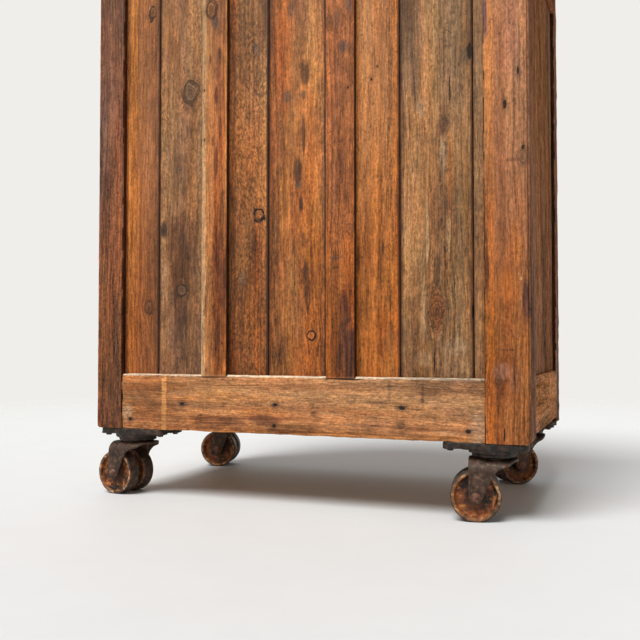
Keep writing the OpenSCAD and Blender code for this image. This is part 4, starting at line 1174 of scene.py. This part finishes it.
ironLooks = {
    "fork": {"iron": (60, 44, 33), "rust": (84, 56, 40), "dust": (144, 110, 82), "rustAmount": 0.4,
             "dustAmount": 0.3, "metal": 0.5, "flakes": 0.32, "rubbed": 0.8},
    "plate": {"iron": (30, 23, 18), "rust": (66, 43, 29), "dust": (98, 76, 58), "rustAmount": 0.4,
              "dustAmount": 0.3, "rubbed": 0.5},
    "rim": {"iron": (84, 56, 36), "rust": (150, 98, 58), "dust": (222, 178, 130), "rustAmount": 0.55,
            "dustAmount": 0.7, "rubbed": 0.5},
    "web": {"iron": (24, 13, 7), "rust": (128, 70, 30), "dust": (204, 142, 84), "rustAmount": 0.58,
            "dustAmount": 0.45, "rubbed": 0.6},
    "tread": {"iron": (42, 30, 22), "rust": (72, 46, 29), "dust": (126, 96, 70), "rustAmount": 0.45,
              "dustAmount": 0.4, "rubbed": 0.4},
    "axle": {"iron": (82, 52, 38), "rust": (122, 76, 54), "dust": (172, 130, 100), "rustAmount": 0.55,
             "dustAmount": 0.3, "flakes": 0.35},
}
irons = {name: ironMaterial(name + "Iron", look) for name, look in ironLooks.items() if name != "web"}
castClouds = cloudTexture("castClouds", 9 * mm)
flakeClouds = cloudTexture("flakeClouds", 16 * mm, 1.8, 1.0, 4)
castLooks = {
    "plate": {"voxel": 1.6, "smoothing": 3, "uneven": 2.6, "texture": flakeClouds},
    "fork": {"voxel": 1.3, "smoothing": 6, "uneven": 0.9, "texture": castClouds},
    "wheel": {"voxel": 1.4, "smoothing": 3, "uneven": 0.5, "texture": castClouds},
}


def castCopy(nodeName, look, *materials):
    # a softened copy, as cast iron looks after years of use
    piece = copyNode(nodeName, nodeName + "_cast")
    applyModifier(piece, "REMESH", mode="VOXEL", voxel_size=look["voxel"] * mm)
    applyModifier(piece, "SMOOTH", factor=0.5, iterations=look["smoothing"])
    displace(piece, look["texture"], look["uneven"] * mm, 0.5)
    makeActive(piece)
    bpy.ops.object.shade_smooth()
    for material in materials:
        piece.data.materials.append(material)
    return piece


# Hexagon heads under the corners of each plate

boltLook = {"radius": 6 * mm, "tall": 5 * mm, "round": 0.7 * mm, "fromEnd": 13 * mm, "apart": 58 * mm,
            "wingTop": 126 * mm, "sunk": 0.8 * mm}
bpy.ops.object.select_all(action="DESELECT")
bpy.ops.mesh.primitive_cylinder_add(vertices=6, radius=boltLook["radius"], depth=boltLook["tall"], location=(0, 0, 0))
bolt = bpy.context.object
bolt.name = "boltPattern"
bevelEdges(bolt, boltLook["round"])
bolt.data.materials.append(irons["plate"])

wheelLook = {"rimInner": 37.5 * mm, "treadFrom": 42.6 * mm}
for casterName in ("back_left", "back_right", "front_left", "front_right"):
    caster = casterName + "_caster"
    plate = castCopy(caster + "_plate", castLooks["plate"], irons["plate"])
    fitPiece(plate, "cabinet", "caster_iron", caster + "_plate")
    low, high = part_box(caster + "_plate")
    corners = [(x, (low.y + high.y) / 2 + side * boltLook["apart"] / 2)
               for x in (low.x + boltLook["fromEnd"], high.x - boltLook["fromEnd"]) for side in (-1, 1)]
    for number, (x, y) in enumerate(corners, 1):
        place = (x, y, boltLook["wingTop"] - boltLook["tall"] / 2 + boltLook["sunk"])
        piece = placeCopy(bolt, f"{casterName}_bolt_{number}", place, (0, 0, random.uniform(0, 1)))
        fitPiece(piece, "cabinet", "caster_iron")
    fork = castCopy(caster + "_fork", castLooks["fork"], irons["fork"])
    fitPiece(fork, casterName + "_swivel", "caster_iron", caster + "_fork")
    dressNode(caster + "_axle", irons["axle"])
    axleCentre = sum(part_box(caster + "_axle"), Vector()) / 2
    for side in ("outer", "inner"):
        wheelName = f"{caster}_{side}_wheel"
        centre = sum(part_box(wheelName), Vector()) / 2
        spin = (centre - axleCentre).normalized()
        webIron = ironMaterial(wheelName + "_web", ironLooks["web"], hub=(centre, spin))
        wheel = castCopy(wheelName, castLooks["wheel"], irons["rim"], webIron, irons["tread"])
        for face in wheel.data.polygons:
            offset = face.center - centre
            radius = (offset - spin * offset.dot(spin)).length
            face.material_index = 2 if radius > wheelLook["treadFrom"] else 0 if radius > wheelLook["rimInner"] else 1
        fitPiece(wheel, f"{casterName}_{side}_wheel", "wheel_iron", wheelName)
bpy.data.objects.remove(bolt)
dressNode("caster_kingpins", irons["plate"])
print("casters done")
